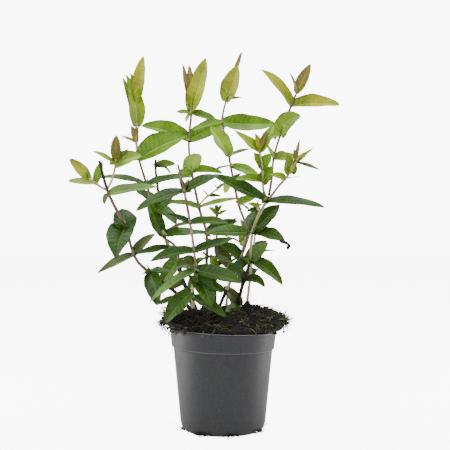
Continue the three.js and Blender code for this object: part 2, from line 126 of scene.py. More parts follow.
# Each corner of the outline as radius, height and the reach of its rounding
POT_OUTLINE = [
    (POT_FOOT_RADIUS, 0, 0.8),
    (POT_FOOT_RADIUS + BEVEL_SHOULDER[0], BEVEL_SHOULDER[1], 1.6),
    (POT_BASE_RADIUS, POT_BEVEL_HEIGHT, 2.4),
    (UNDER_COLLAR, COLLAR_FOOT, 0.5),
    (UNDER_COLLAR + POT_COLLAR_STEP, COLLAR_FOOT + POT_EDGE, 0.5),
    (POT_RIM_RADIUS - BEAD_STEP, POT_HEIGHT - BEAD_FOOT, 0.6),
    (POT_RIM_RADIUS, POT_HEIGHT - BEAD_TOP, 0.6),
    (POT_RIM_RADIUS, POT_HEIGHT - POT_EDGE, 0.5),
    (POT_RIM_RADIUS - POT_EDGE, POT_HEIGHT, 0.4),
    (POT_RIM_RADIUS - POT_WALL - POT_COLLAR_STEP, POT_HEIGHT, 0.5),
    (UNDER_COLLAR - POT_WALL, COLLAR_FOOT, 1.0),
    (POT_BASE_RADIUS - POT_WALL, POT_BEVEL_HEIGHT, 2.0),
    (POT_FOOT_RADIUS, POT_FLOOR, 1.0),
]


def paint(red, green, blue):
    # A colour given as 0 to 255 screen values, as the shader takes it
    channels = (red / 255, green / 255, blue / 255)
    linear = [c / 12.92 if c < 0.04045 else ((c + 0.055) / 1.055) ** 2.4 for c in channels]
    return (*linear, 1.0)


def grey(level):
    return (level, level, level, 1.0)


class Value:
    # One output of a shader node, so that sums and products of values add their Math nodes
    def __init__(self, socket):
        self.socket = socket

    def math(self, operation, other):
        tree = self.socket.id_data
        made = tree.nodes.new("ShaderNodeMath")
        made.operation = operation
        tree.links.new(self.socket, made.inputs[0])
        if isinstance(other, Value):
            tree.links.new(other.socket, made.inputs[1])
        else:
            made.inputs[1].default_value = other
        return Value(made.outputs[0])

    def __add__(self, other):
        return self.math("ADD", other)

    def __mul__(self, other):
        return self.math("MULTIPLY", other)

    __radd__ = __add__
    __rmul__ = __mul__


class Finish:
    # A material with one shader, whose other nodes all come from one method
    def __init__(self, name, roughness=0.5, gloss=0.5):
        self.material = bpy.data.materials.new(name)
        self.material.use_nodes = True
        self.tree = self.material.node_tree
        self.shader = self.tree.nodes["Principled BSDF"]
        self.shader.inputs["Roughness"].default_value = roughness
        self.shader.inputs["Specular IOR Level"].default_value = gloss

    def feed(self, port, value):
        if isinstance(value, Value):
            self.tree.links.new(value.socket, port)
        else:
            port.default_value = value

    def node(self, kind, settings, inputs, output=0):
        made = self.tree.nodes.new("ShaderNode" + kind)
        for key, setting in settings.items():
            if key == "stops":
                stops = made.color_ramp.elements
                while len(stops) < len(setting):
                    stops.new(0.5)
                for stop, (place, color) in zip(stops, setting):
                    stop.position = place
                    stop.color = color
            else:
                setattr(made, key, setting)
        for key, value in inputs.items():
            self.feed(made.inputs[key], value)
        return Value(made.outputs[output])

    def place(self):
        return self.node("TexCoord", {}, {}, "Object")

    def cloud(self, place, scale, detail=3.0):
        return self.node("TexNoise", {}, {"Vector": place, "Scale": scale, "Detail": detail})

    def ramp(self, value, stops):
        return self.node("ValToRGB", {"stops": stops}, {"Fac": value})

    def blend(self, factor, first, second):
        return self.node("Mix", {"data_type": "RGBA"}, {0: factor, 6: first, 7: second}, 2)

    def color(self, value):
        self.feed(self.shader.inputs["Base Color"], value)

    def rough(self, value):
        self.feed(self.shader.inputs["Roughness"], value)

    def bump(self, height, strength, distance):
        inputs = {"Height": height, "Strength": strength, "Distance": distance}
        self.feed(self.shader.inputs["Normal"], self.node("Bump", {}, inputs))


def plain_finish(name, dark, light, scale, roughness=0.85, relief=0.4):
    # A dull surface of two near tones in clouds
    made = Finish(name, roughness)
    spot = made.place()
    patches = made.ramp(made.cloud(spot, scale, detail=4.0), [(0.35, grey(0)), (0.65, grey(1))])
    made.color(made.blend(patches, paint(*dark), paint(*light)))
    made.bump(made.cloud(spot, scale * 7), strength=relief, distance=0.0006)
    return made


class Form:
    # The points and faces of a piece as it grows, and the number of each face's finish
    def __init__(self):
        self.points = []
        self.faces = []
        self.slots = []

    def add_face(self, corners, slot=0):
        self.faces.append(corners)
        self.slots.append(slot)

    def close_rings(self, rings, sides):
        # Joins rings one above the other, with a middle point before and after them
        end = 1 + rings * sides
        for side in range(sides):
            following = (side + 1) % sides
            self.add_face((0, 1 + following, 1 + side))
            for row in range(rings - 1):
                low = 1 + row * sides
                high = low + sides
                self.add_face((low + side, low + following, high + following, high + side))
            self.add_face((end, end - sides + side, end - sides + following))

    def skin_tube(self, first, sides, row_slots, foot_slot, tip_slot):
        # Joins the rings from a first point on, with one slot a row, and closes both ends
        for row, slot in enumerate(row_slots):
            low = first + row * sides
            high = low + sides
            for side in range(sides):
                following = (side + 1) % sides
                self.add_face((low + side, low + following, high + following, high + side), slot)
        last = first + len(row_slots) * sides
        self.add_face(tuple(first + side for side in reversed(range(sides))), foot_slot)
        self.add_face(tuple(last + side for side in range(sides)), tip_slot)

    def add_tube(self, path, radii, sides, slot):
        # A round thread along a path
        across = Vector((0.31, 0.9, 0.3))
        first = len(self.points)
        for index, (spot, radius) in enumerate(zip(path, radii)):
            along = (path[min(index + 1, len(path) - 1)] - path[max(index - 1, 0)]).normalized()
            across = (across - along * across.dot(along)).normalized()
            other = along.cross(across)
            for side in range(sides):
                angle = 2 * math.pi * side / sides
                self.points.append(spot + (across * math.cos(angle) + other * math.sin(angle)) * radius)
        self.skin_tube(first, sides, [slot] * (len(path) - 1), slot, slot)

    def make(self, name, finishes, replaced, slot, smooth=True):
        # One mesh piece from points in millimetres, kept inside the model's box
        low = cad_low / MM
        high = cad_high / MM
        kept = []
        for point in self.points:
            inside = [min(max(value, least), most) * MM for value, least, most in zip(point, low, high)]
            kept.append(inside)
        mesh = bpy.data.meshes.new(name)
        mesh.from_pydata(kept, [], self.faces)
        for finish in finishes:
            mesh.materials.append(finish.material)
        mesh.polygons.foreach_set("material_index", self.slots)
        mesh.polygons.foreach_set("use_smooth", [smooth] * len(self.faces))
        mesh.validate()
        mesh.update()
        piece = add_object(name, mesh)
        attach(piece, "root")
        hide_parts(*replaced)
        return piece


def round_corners(outline):
    # Each corner becomes a short curve that starts and ends its reach away from it
    rounded = []
    for index, (radius, height, reach) in enumerate(outline):
        corner = Vector((radius, height))
        before = Vector(outline[index - 1][:2]) - corner
        after = Vector(outline[(index + 1) % len(outline)][:2]) - corner
        start = corner + before.normalized() * min(reach, before.length * CORNER_SHARE)
        end = corner + after.normalized() * min(reach, after.length * CORNER_SHARE)
        for step in range(CORNER_STEPS + 1):
            share = step / CORNER_STEPS
            rounded.append(start.lerp(corner, share).lerp(corner.lerp(end, share), share))
    return rounded


outline = round_corners(POT_OUTLINE)
fine_outline = [outline[0]]
for spot in outline[1:]:
    start = fine_outline[-1]
    pieces = max(1, round((spot - start).length / WALL_STEP))
    for piece in range(1, pieces + 1):
        fine_outline.append(start.lerp(spot, piece / pieces))
turned_points = [(0, 0, fine_outline[0].y)]
for spot in fine_outline:
    for side in range(POT_SIDES):
        angle = 2 * math.pi * side / POT_SIDES
        turned_points.append((spot.x * math.cos(angle), spot.x * math.sin(angle), spot.y))
turned_points.append((0, 0, fine_outline[-1].y))

shell = Form()
shell.close_rings(len(fine_outline), POT_SIDES)
# The wall is very slightly uneven, as thin moulded plastic is
for x, y, z in turned_points:
    rise = z / POT_HEIGHT
    swell = 1 - OUT_OF_ROUND * rise * (1 - math.cos(2 * math.atan2(y, x) + OUT_OF_ROUND_TURN))
    shell.points.append((x * swell, y * swell, z - RIM_SLOPE * x * rise * rise))
# The lip under the collar and the rim are painted pale: a painted highlight along the edges that catch the
# light
for index, face in enumerate(shell.faces):
    heights = [turned_points[corner][2] for corner in face]
    reaches = [math.hypot(*turned_points[corner][:2]) for corner in face]
    at_lip = max(heights) < COLLAR_FOOT + PAINTED_HIGHLIGHT_LIP and min(heights) > COLLAR_FOOT - 0.1
    at_rim = min(heights) > POT_HEIGHT - POT_EDGE
    outside = min(reaches) > UNDER_COLLAR + POT_COLLAR_STEP * PAINTED_HIGHLIGHT_FROM
    shell.slots[index] = 1 if outside and (at_lip or at_rim) else 0

plastic = Finish("pot_plastic", roughness=0.42)
plastic_place = plastic.place()
mottle = plastic.cloud(plastic_place, MOTTLE_SCALE)
dust = plastic.ramp(plastic.cloud(plastic_place, DUST_SCALE, detail=2.0), [(0.62, grey(0)), (0.74, grey(1))])
height = plastic.node("SeparateXYZ", {}, {"Vector": plastic_place}, "Z")
low_soil = plastic.ramp(height + mottle * 0.012, [(0.004, grey(1)), (0.022, grey(0))])
shade = plastic.blend(mottle, paint(19, 20, 23), paint(26, 27, 31))
dusty = plastic.blend(dust * 0.4, shade, paint(120, 118, 114))
plastic.color(plastic.blend(low_soil * 0.25, dusty, paint(70, 62, 52)))
plastic.rough(0.36 + mottle * 0.16 + dust * 0.25)
plastic.bump(plastic.cloud(plastic_place, GRAIN_SCALE, detail=2.0), strength=0.12, distance=0.0003)
# A painted highlight: the pale finish of the collar's lip and the rim
painted_highlight = plain_finish("pot_painted_highlight_edge", (84, 85, 88), (112, 113, 116), 300.0, roughness=0.5, relief=0.1)
pot = shell.make("pot_shell", [plastic, painted_highlight], ["pot"], "pot_plastic")

holes = Form()
for hole in range(DRAIN_HOLES):
    start = len(holes.points)
    around = Matrix.Rotation((hole + DRAIN_HOLE_PHASE) * 2 * math.pi / DRAIN_HOLES, 3, "Z")
    for side_x in (-1, 1):
        for side_y in (-1, 1):
            for side_z in (-1, 1):
                x = DRAIN_HOLE_RADIUS + side_x * DRAIN_HOLE_SIZE[0] / 2
                y = side_y * DRAIN_HOLE_SIZE[1] / 2
                z = POT_FLOOR / 2 + side_z * DRAIN_HOLE_SIZE[2] / 2
                holes.points.append(around @ (Vector((x, y, z)) * MM))
    for face in BOX_FACES:
        holes.add_face([start + corner for corner in face])
hole_mesh = bpy.data.meshes.new("drain_cutters")
hole_mesh.from_pydata(holes.points, [], holes.faces)
cutters = add_object("drain_cutters", hole_mesh)
cut = pot.modifiers.new("drain_holes", "BOOLEAN")
cut.operation = "DIFFERENCE"
cut.solver = "EXACT"
cut.object = cutters
bpy.context.view_layer.update()
depsgraph = bpy.context.evaluated_depsgraph_get()
cut_mesh = bpy.data.meshes.new_from_object(pot.evaluated_get(depsgraph))
pot.modifiers.clear()
pot.data = cut_mesh
bpy.data.objects.remove(cutters)

# Soil
# Dark peaty compost, heaped above the rim round the stems. It spreads over the rim
# at both sides and stays just inside it at the front, and the same fill goes down
# inside the pot to its floor.
SOIL_PEAK = (12, 18)
SOIL_TOP = 165
SOIL_EDGE = 145
SOIL_SPREAD = 88
# Smaller heaps at both sides of the mound and by the right stem: place, rise and spread
HEAPS = [((62, 8), 2, 20), ((-68, -2), 10, 18), ((34, 4), 10, 7)]
SIDE_OVERHANG = 11
BACK_OVERHANG = 4
FRONT_SETBACK = 6
MOSS_LIFT = 9
MOSS_LIP = 1.5
FLOOR_CLEARANCE = 0.3
WALL_CLEARANCE = 1.0
RIM_CLEARANCE = 0.6
SOIL_SIDES = 200
SOIL_RINGS = 64
WIDE_LUMPS = 1.4
NARROW_LUMPS = 0.8
LUMP_HEIGHT = 5.0
LUMP_SIZE = 11
GRAIN_HEIGHT = 2.0
GRAIN_SIZE = 3.1
# The lower edge's share of the overhang, and how much the upper edge is raised
LIP_SHARE = 0.6
LIP_RISE = 1
# The roughness grows from the lip inward over a few rings, and acts less to the side
LIP_ROUGHNESS = 0.35
RINGS_TO_FULL = 5
SIDE_ROUGHNESS = 0.8


def rim_height(x):
    return POT_HEIGHT - RIM_SLOPE * x


def soil_height(x, y):
    away = math.hypot(x - SOIL_PEAK[0], y - SOIL_PEAK[1]) / SOIL_SPREAD
    lumps = WIDE_LUMPS * math.sin(x * 0.21 + 1) * math.cos(y * 0.18)
    lumps += NARROW_LUMPS * math.sin(x * 0.47 - y * 0.39)
    mound = SOIL_EDGE + (SOIL_TOP - SOIL_EDGE) * (1 - min(1, away) ** 3)
    for place, rise, spread in HEAPS:
        mound += rise * math.exp(-((x - place[0]) ** 2 + (y - place[1]) ** 2) / (2 * spread * spread))
    return mound + lumps


def overhang(c, s):
    return SIDE_OVERHANG * c ** 4 + (-FRONT_SETBACK if s < 0 else BACK_OVERHANG) * s * s


def soil_reach(c, s):
    return POT_RIM_RADIUS + overhang(c, s) - 2 * MOSS_LIP


def soil_roughness(x, y, z):
    lump = noise.fractal(Vector((x, y, z)) / LUMP_SIZE, 1.0, 2.1, 3)
    grain = noise.fractal(Vector((x, y, z)) / GRAIN_SIZE, 0.9, 2.2, 3)
    return LUMP_HEIGHT * lump + GRAIN_HEIGHT * grain


def soil_surface(x, y):
    return max(soil_height(x, y), rim_height(x) + 2 * MOSS_LIP)


def soil_lip(x, c):
    return rim_height(x) + MOSS_LIP + MOSS_LIFT * max(0, -c)


def inside_wall(height):
    return pot_radius(height) - POT_WALL - WALL_CLEARANCE


def soil_ring(radius_at, height_at):
    ring = []
    for side in range(SOIL_SIDES):
        angle = side * 2 * math.pi / SOIL_SIDES
        c, s = math.cos(angle), math.sin(angle)
        x, y = c * radius_at(c, s), s * radius_at(c, s)
        ring.append(Vector((x, y, height_at(x, y, c))))
    return ring


soil_floor = POT_FLOOR + FLOOR_CLEARANCE
bevel_top = POT_BEVEL_HEIGHT + BEVEL_SHOULDER[1]
soil = Form()
soil.points.append((0, 0, soil_floor))
for radius, level in (
    (POT_FOOT_RADIUS - BEVEL_SHOULDER[0], lambda x, y, c: soil_floor),
    (inside_wall(POT_BEVEL_HEIGHT) - 1, lambda x, y, c: bevel_top),
    (inside_wall(COLLAR_FOOT), lambda x, y, c: rim_height(x) - POT_COLLAR_HEIGHT),
    (inside_wall(COLLAR_FOOT), lambda x, y, c: rim_height(x)),
):
    soil.points.extend(soil_ring(lambda c, s: radius, level))
rough_rings = [
    soil_ring(lambda c, s: POT_RIM_RADIUS + overhang(c, s) * LIP_SHARE, lambda x, y, c: soil_lip(x, c)),
    soil_ring(
        lambda c, s: POT_RIM_RADIUS + overhang(c, s),
        lambda x, y, c: (soil_lip(x, c) + soil_height(x, y)) / 2 + LIP_RISE,
    ),
]
for ring_index in range(SOIL_RINGS):
    share = 1 - ring_index / SOIL_RINGS
    rough_rings.append(soil_ring(lambda c, s: soil_reach(c, s) * share, lambda x, y, c: soil_surface(x, y)))
for row, ring in enumerate(rough_rings):
    depth = min(1.0, LIP_ROUGHNESS + row / RINGS_TO_FULL)
    for point in ring:
        outward = Vector((point.x, point.y, 0)).normalized() * (1 - depth)
        moved = point + (outward * SIDE_ROUGHNESS + Vector((0, 0, depth))) * soil_roughness(*point)
        least = rim_height(point.x) + RIM_CLEARANCE
        soil.points.append((moved.x, moved.y, max(moved.z, least)))
soil.points.append((0, 0, soil_surface(0, 0)))
soil.close_rings((len(soil.points) - 2) // SOIL_SIDES, SOIL_SIDES)

compost = Finish("compost", roughness=0.95)
compost_place = compost.place()
clods = compost.cloud(compost_place, 90.0, detail=6.0)
crumbling = compost.cloud(compost_place, 420.0, detail=4.0)
compost.color(compost.ramp(clods * 0.6 + crumbling * 0.4, [
    (0.42, paint(4, 3, 3)),
    (0.54, paint(13, 10, 8)),
    (0.64, paint(30, 22, 15)),
    (0.76, paint(56, 44, 28)),
]))
compost.bump(clods * 0.5 + crumbling * 0.5, strength=0.9, distance=0.003)
soil.make("compost_top", [compost], ["soil"], "compost")

# Moss, roots and crumbs on the soil
# Short strands of olive moss and brown root fibre that lie on the compost and hang
# over the rim, and loose crumbs and chips of bark among them. Each strand is a thin
# round thread, and each crumb a broken lump.
STRAND_SIDES = 3
STRAND_STEPS = 5
STRAND_TAPER = 0.7
# Strands that lie on the compost, and ones that hang over its edge: how many, and the
# ranges of their length, climb at the root and sag to the tip, and how deep they start
LYING = {"count": 1150, "length": (6, 19), "climb": (0.0, 0.8), "sag": (0.4, 1.5), "sunk": 0.4}
HANGING = {"count": 620, "length": (5, 15), "climb": (-0.4, 0.5), "sag": (0.9, 2.2), "sunk": 1.5}
STRAND_BEND = 1.4
STRAND_RADIUS = (0.4, 1.0)
# Strands follow the rough surface in part and start a little sunk in it. The lying
# ones and the crumbs keep off its outermost edge
BED_SHARE = 0.6
BED_DEPTH = 0.6
INSIDE_EDGE = 0.99
# The share of hanging strands that are at the sides, and of those at the right one
AT_THE_SIDES = 0.62
AT_THE_RIGHT = 0.8
# Moss grows most to the right of a place x, over a width, and near the rim
MOSS_FROM = 22
MOSS_FADE = 14
# Thicker tufts of moss as foot, number of strands and the way they lean, and roots
# that hang free over the rim as top and length
TUFTS = [((-72, -8, 159), 80, math.pi), ((77, -6, 149), 90, 0.0)]
TUFT_SPREAD = (5, 8, 2)
TUFT_CLIMB = (0.3, 1.4)
TUFT_SAG = (0.3, 1.6)
TUFT_LENGTH = (8, 21)
TUFT_RADIUS = (0.4, 0.9)
HANGING_ROOTS = [((84, -14, 150), 13), ((72, -29, 146), 9), ((80, 22, 150), 8)]
ROOT_RADIUS = 0.9
ROOT_STEPS = 5
ROOT_SWAY = 0.5
ROOT_CRUMB = 2.5
CRUMBS = 520
SMALL_CRUMB = (0.7, 2.1)
LARGE_CRUMB = (2.0, 3.4)
SMALL_SHARE = 0.85
# Chips of red bark lie mostly round one place
RED_CHIPS = (-22, -30)
RED_SPREAD = 700
# Twelve corners of a crumb: one on top, two rings of five and one below
CRUMB_SHAPE = [(0, 0, 1), (0.9, 0, 0.4), (0.3, 0.86, 0.45), (-0.73, 0.5, 0.4), (-0.7, -0.55, 0.45),
               (0.28, -0.85, 0.4), (0.7, 0.5, -0.45), (-0.27, 0.87, -0.4), (-0.9, 0, -0.45),
               (-0.25, -0.86, -0.4), (0.72, -0.52, -0.45), (0, 0, -1)]
dice = random.Random(41)


def mossy(x, y):
    # How much moss grows at a place: most towards the right shoulder and along the rim
    edge = math.hypot(x, y) / POT_RIM_RADIUS
    right = 1 / (1 + math.exp(-(x - MOSS_FROM) / MOSS_FADE))
    return min(1.0, 0.12 + 0.75 * right + 0.35 * max(0, edge - 0.75) * 4)


def heading_along(turn, pitch):
    level = math.cos(pitch)
    return Vector((math.cos(turn) * level, math.sin(turn) * level, math.sin(pitch)))


def strand_path(spot, heading, bend, climb, sag, length, on_soil):
    # A thread that turns by its bend and sinks by its sag, and may stay on the compost
    path = []
    for step in range(STRAND_STEPS):
        path.append(spot.copy())
        progress = step / (STRAND_STEPS - 1)
        ahead = heading_along(heading + bend * progress, climb - sag * progress)
        spot = spot + ahead * (length / (STRAND_STEPS - 1))
        away = math.hypot(spot.x, spot.y)
        if on_soil and away < soil_reach(spot.x / away, spot.y / away):
            spot.z = max(spot.z, soil_surface(spot.x, spot.y) - 0.5)
    return path


def tapering(thick):
    return [thick * (1 - STRAND_TAPER * step / STRAND_STEPS) for step in range(STRAND_STEPS)]


strands = Form()
for strand in range(LYING["count"] + HANGING["count"]):
    hanging = strand >= LYING["count"]
    habit = HANGING if hanging else LYING
    angle = dice.uniform(0, 2 * math.pi)
    if hanging and dice.random() < AT_THE_SIDES:
        angle = dice.gauss(0.0 if dice.random() < AT_THE_RIGHT else math.pi, 0.4)
    c, s = math.cos(angle), math.sin(angle)
    reach = soil_reach(c, s)
    share = 1.0 if hanging else math.sqrt(dice.random()) * INSIDE_EDGE
    x, y = c * reach * share, s * reach * share
    z = soil_surface(x, y) + soil_roughness(x, y, soil_surface(x, y)) * BED_SHARE - BED_DEPTH
    heading = angle + dice.gauss(0, 0.7) if hanging else dice.uniform(0, 2 * math.pi)
    length, climb, sag = [dice.uniform(*habit[key]) for key in ("length", "climb", "sag")]
    bend = dice.uniform(-STRAND_BEND, STRAND_BEND)
    path = strand_path(Vector((x, y, z - habit["sunk"])), heading, bend, climb, sag, length, on_soil=True)
    radii = tapering(dice.uniform(*STRAND_RADIUS))
    if dice.random() < mossy(x, y):
        kind = dice.choices((1, 2, 3), (5, 7, 0.5))[0]
    else:
        kind = dice.choices((0, 2, 3), (4, 5, 0.4))[0]
    strands.add_tube(path, radii, STRAND_SIDES, kind)
for foot, count, lean in TUFTS:
    for strand in range(count):
        spot = Vector(foot) + Vector([dice.gauss(0, spread) for spread in TUFT_SPREAD])
        turn = lean + dice.gauss(0, 0.9)
        climb, sag, length = [dice.uniform(*span) for span in (TUFT_CLIMB, TUFT_SAG, TUFT_LENGTH)]
        path = strand_path(spot, turn, 0.0, climb, sag, length, on_soil=False)
        radii = tapering(dice.uniform(*TUFT_RADIUS))
        strands.add_tube(path, radii, STRAND_SIDES, dice.choices((1, 2, 3), (4, 8, 0.4))[0])
for top, drop in HANGING_ROOTS:
    path = []
    for step in range(ROOT_STEPS + 1):
        sway = ROOT_SWAY * math.sin(step * 1.7)
        path.append(Vector(top) + Vector((sway, 0, -drop * step / ROOT_STEPS)))
    strands.add_tube(path, [ROOT_RADIUS] * len(path), STRAND_SIDES, 2)
strand_finishes = [
    plain_finish("root_brown", (38, 26, 17), (72, 50, 34), 160.0),
    plain_finish("moss_olive", (56, 60, 30), (98, 100, 60), 200.0),
    plain_finish("moss_dark", (12, 14, 7), (32, 35, 16), 200.0),
    plain_finish("fibre_pale", (112, 108, 84), (146, 142, 116), 180.0),
]
strands.make("moss_and_roots", strand_finishes, ["soil"], "compost")


def add_crumb(form, place, size, flat, slot):
    # One broken lump: a rounded block whose corners are pushed in and out by chance
    turn = dice.uniform(0, 2 * math.pi)
    lean = dice.uniform(-0.7, 0.7)
    spin = Matrix.Rotation(turn, 3, "Z") @ Matrix.Rotation(lean, 3, "X")
    stretch = Vector((dice.uniform(0.8, 1.7), dice.uniform(0.6, 1.1), flat))
    top = len(form.points)
    for corner in CRUMB_SHAPE:
        shaped = Vector(corner) * dice.uniform(0.7, 1.15) * size
        form.points.append(place + spin @ (shaped * stretch))
    for corner in range(5):
        upper, lower = top + 1 + corner, top + 6 + corner
        next_upper, next_lower = top + 1 + (corner + 1) % 5, top + 6 + (corner + 1) % 5
        form.add_face((top, upper, next_upper), slot)
        form.add_face((upper, lower, next_upper), slot)
        form.add_face((next_upper, lower, next_lower), slot)
        form.add_face((top + 11, next_lower, lower), slot)


crumbs = Form()
for (x, y, z), drop in HANGING_ROOTS:
    add_crumb(crumbs, Vector((x, y, z - drop)), ROOT_CRUMB, 1.0, 0)
for crumb in range(CRUMBS):
    angle = dice.uniform(0, 2 * math.pi)
    c, s = math.cos(angle), math.sin(angle)
    reach = soil_reach(c, s)
    share = math.sqrt(dice.random()) * INSIDE_EDGE
    x, y = c * reach * share, s * reach * share
    z = soil_surface(x, y) + soil_roughness(x, y, soil_surface(x, y))
    size = dice.uniform(*SMALL_CRUMB) if dice.random() < SMALL_SHARE else dice.uniform(*LARGE_CRUMB)
    red = math.exp(-((x - RED_CHIPS[0]) ** 2 + (y - RED_CHIPS[1]) ** 2) / RED_SPREAD)
    kind = dice.choices((0, 1, 2), (7, 0.3 + 9 * red, 0.3))[0]
    add_crumb(crumbs, Vector((x, y, z)), size, dice.uniform(0.35, 0.9), kind)
crumb_finishes = [
    plain_finish("crumb_dark", (6, 5, 4), (20, 15, 12), 260.0),
    plain_finish("crumb_red", (60, 34, 26), (98, 62, 50), 220.0),
    plain_finish("crumb_tan", (88, 70, 46), (122, 100, 70), 220.0),
]
crumbs.make("crumbs", crumb_finishes, ["soil"], "compost", smooth=False)

# Debris at the pot's foot
# Curly roots and compost that have washed out of the drainage slots and dried on
# the foot of the pot.
FOOT_ROOTS = 70
FOOT_CRUMBS = 100
FOOT_ROOT_LENGTH = (5, 12)
FOOT_ROOT_CURL = 2.6
# How much has come out of each slot, counted round from the right
FOOT_SHARES = [1, 1, 1, 1, 1, 6, 2, 3]


def foot_radius(height):
    return POT_FOOT_RADIUS + BEVEL_SHOULDER[0] * height / BEVEL_SHOULDER[1]


debris = Form()
foot_places = [(hole + DRAIN_HOLE_PHASE) * 2 * math.pi / DRAIN_HOLES for hole in range(DRAIN_HOLES)]
for strand in range(FOOT_ROOTS):
    angle = dice.choices(foot_places, FOOT_SHARES)[0] + dice.gauss(0, 0.12)
    height = dice.uniform(0.6, 3.4)
    radius = foot_radius(height) - 0.4
    spot = Vector((math.cos(angle) * radius, math.sin(angle) * radius, height))
    heading = angle + dice.gauss(0, 1.0)
    curl = dice.uniform(-FOOT_ROOT_CURL, FOOT_ROOT_CURL)
    stride = dice.uniform(*FOOT_ROOT_LENGTH) / (STRAND_STEPS - 1)
    path = []
    for step in range(STRAND_STEPS):
        path.append(spot.copy())
        turn = heading + curl * step / STRAND_STEPS
        spot = spot + Vector((math.cos(turn), math.sin(turn), dice.uniform(-0.25, 0.35))) * stride
        # The roots stay outside the pot and on the ground
        outward = max(1, (foot_radius(spot.z) + 0.2) / math.hypot(spot.x, spot.y))
        spot = Vector((spot.x * outward, spot.y * outward, max(spot.z, 0.5)))
    debris.add_tube(path, [dice.uniform(0.3, 0.55)] * STRAND_STEPS, STRAND_SIDES, 0)
for crumb in range(FOOT_CRUMBS):
    angle = dice.choices(foot_places, FOOT_SHARES)[0] + dice.gauss(0, 0.08)
    height = dice.uniform(1.0, 3.6)
    radius = foot_radius(height) + dice.uniform(0, 2.5)
    spot = Vector((math.cos(angle) * radius, math.sin(angle) * radius, height))
    add_crumb(debris, spot, dice.uniform(0.8, 2.2), 0.7, 1)
dried_root = plain_finish("dried_root", (34, 26, 18), (84, 66, 44), 200.0)
debris.make("foot_debris", [dried_root, crumb_finishes[0]], ["soil"], "compost")

# Stems
# Thin woody stems that rise from the compost and lean out, dark brown at the foot,
# red-brown above and tan or pink at the young tips, with a swollen ring at each pair
# of leaves. Some were pruned and end in a flat cut, and fork below it.
#
# Every stem has a route through its bends, a radius at foot and tip, and its kinds of
# bark with the height that each goes up to. Leaves grow in opposite pairs: each row
# is the height of the joint, and for each leaf its heading, rise at the root, droop
# to the tip, length, breadth, the turn that shows its upper side to the front, and
# the kind of leaf. The parts are the heights between the foliage masses of a stem.
FOOT_DEPTH = 4
FOOT_FLARE = 0.2
FLARE_HEIGHT = 14
STEM_STEP = 2.5
STEM_SIDES = 12
# The bark stands out a little beyond the stem's own radius, in shallow ridges and knobs
STEM_BARK = 0.4
BARK_RIDGES = 0.06
RIDGE_TWIST = 0.05
BARK_KNOBS = 0.09
KNOB_LENGTH = 5
JOINT_SWELLING = 0.45
JOINT_LENGTH = 1.9
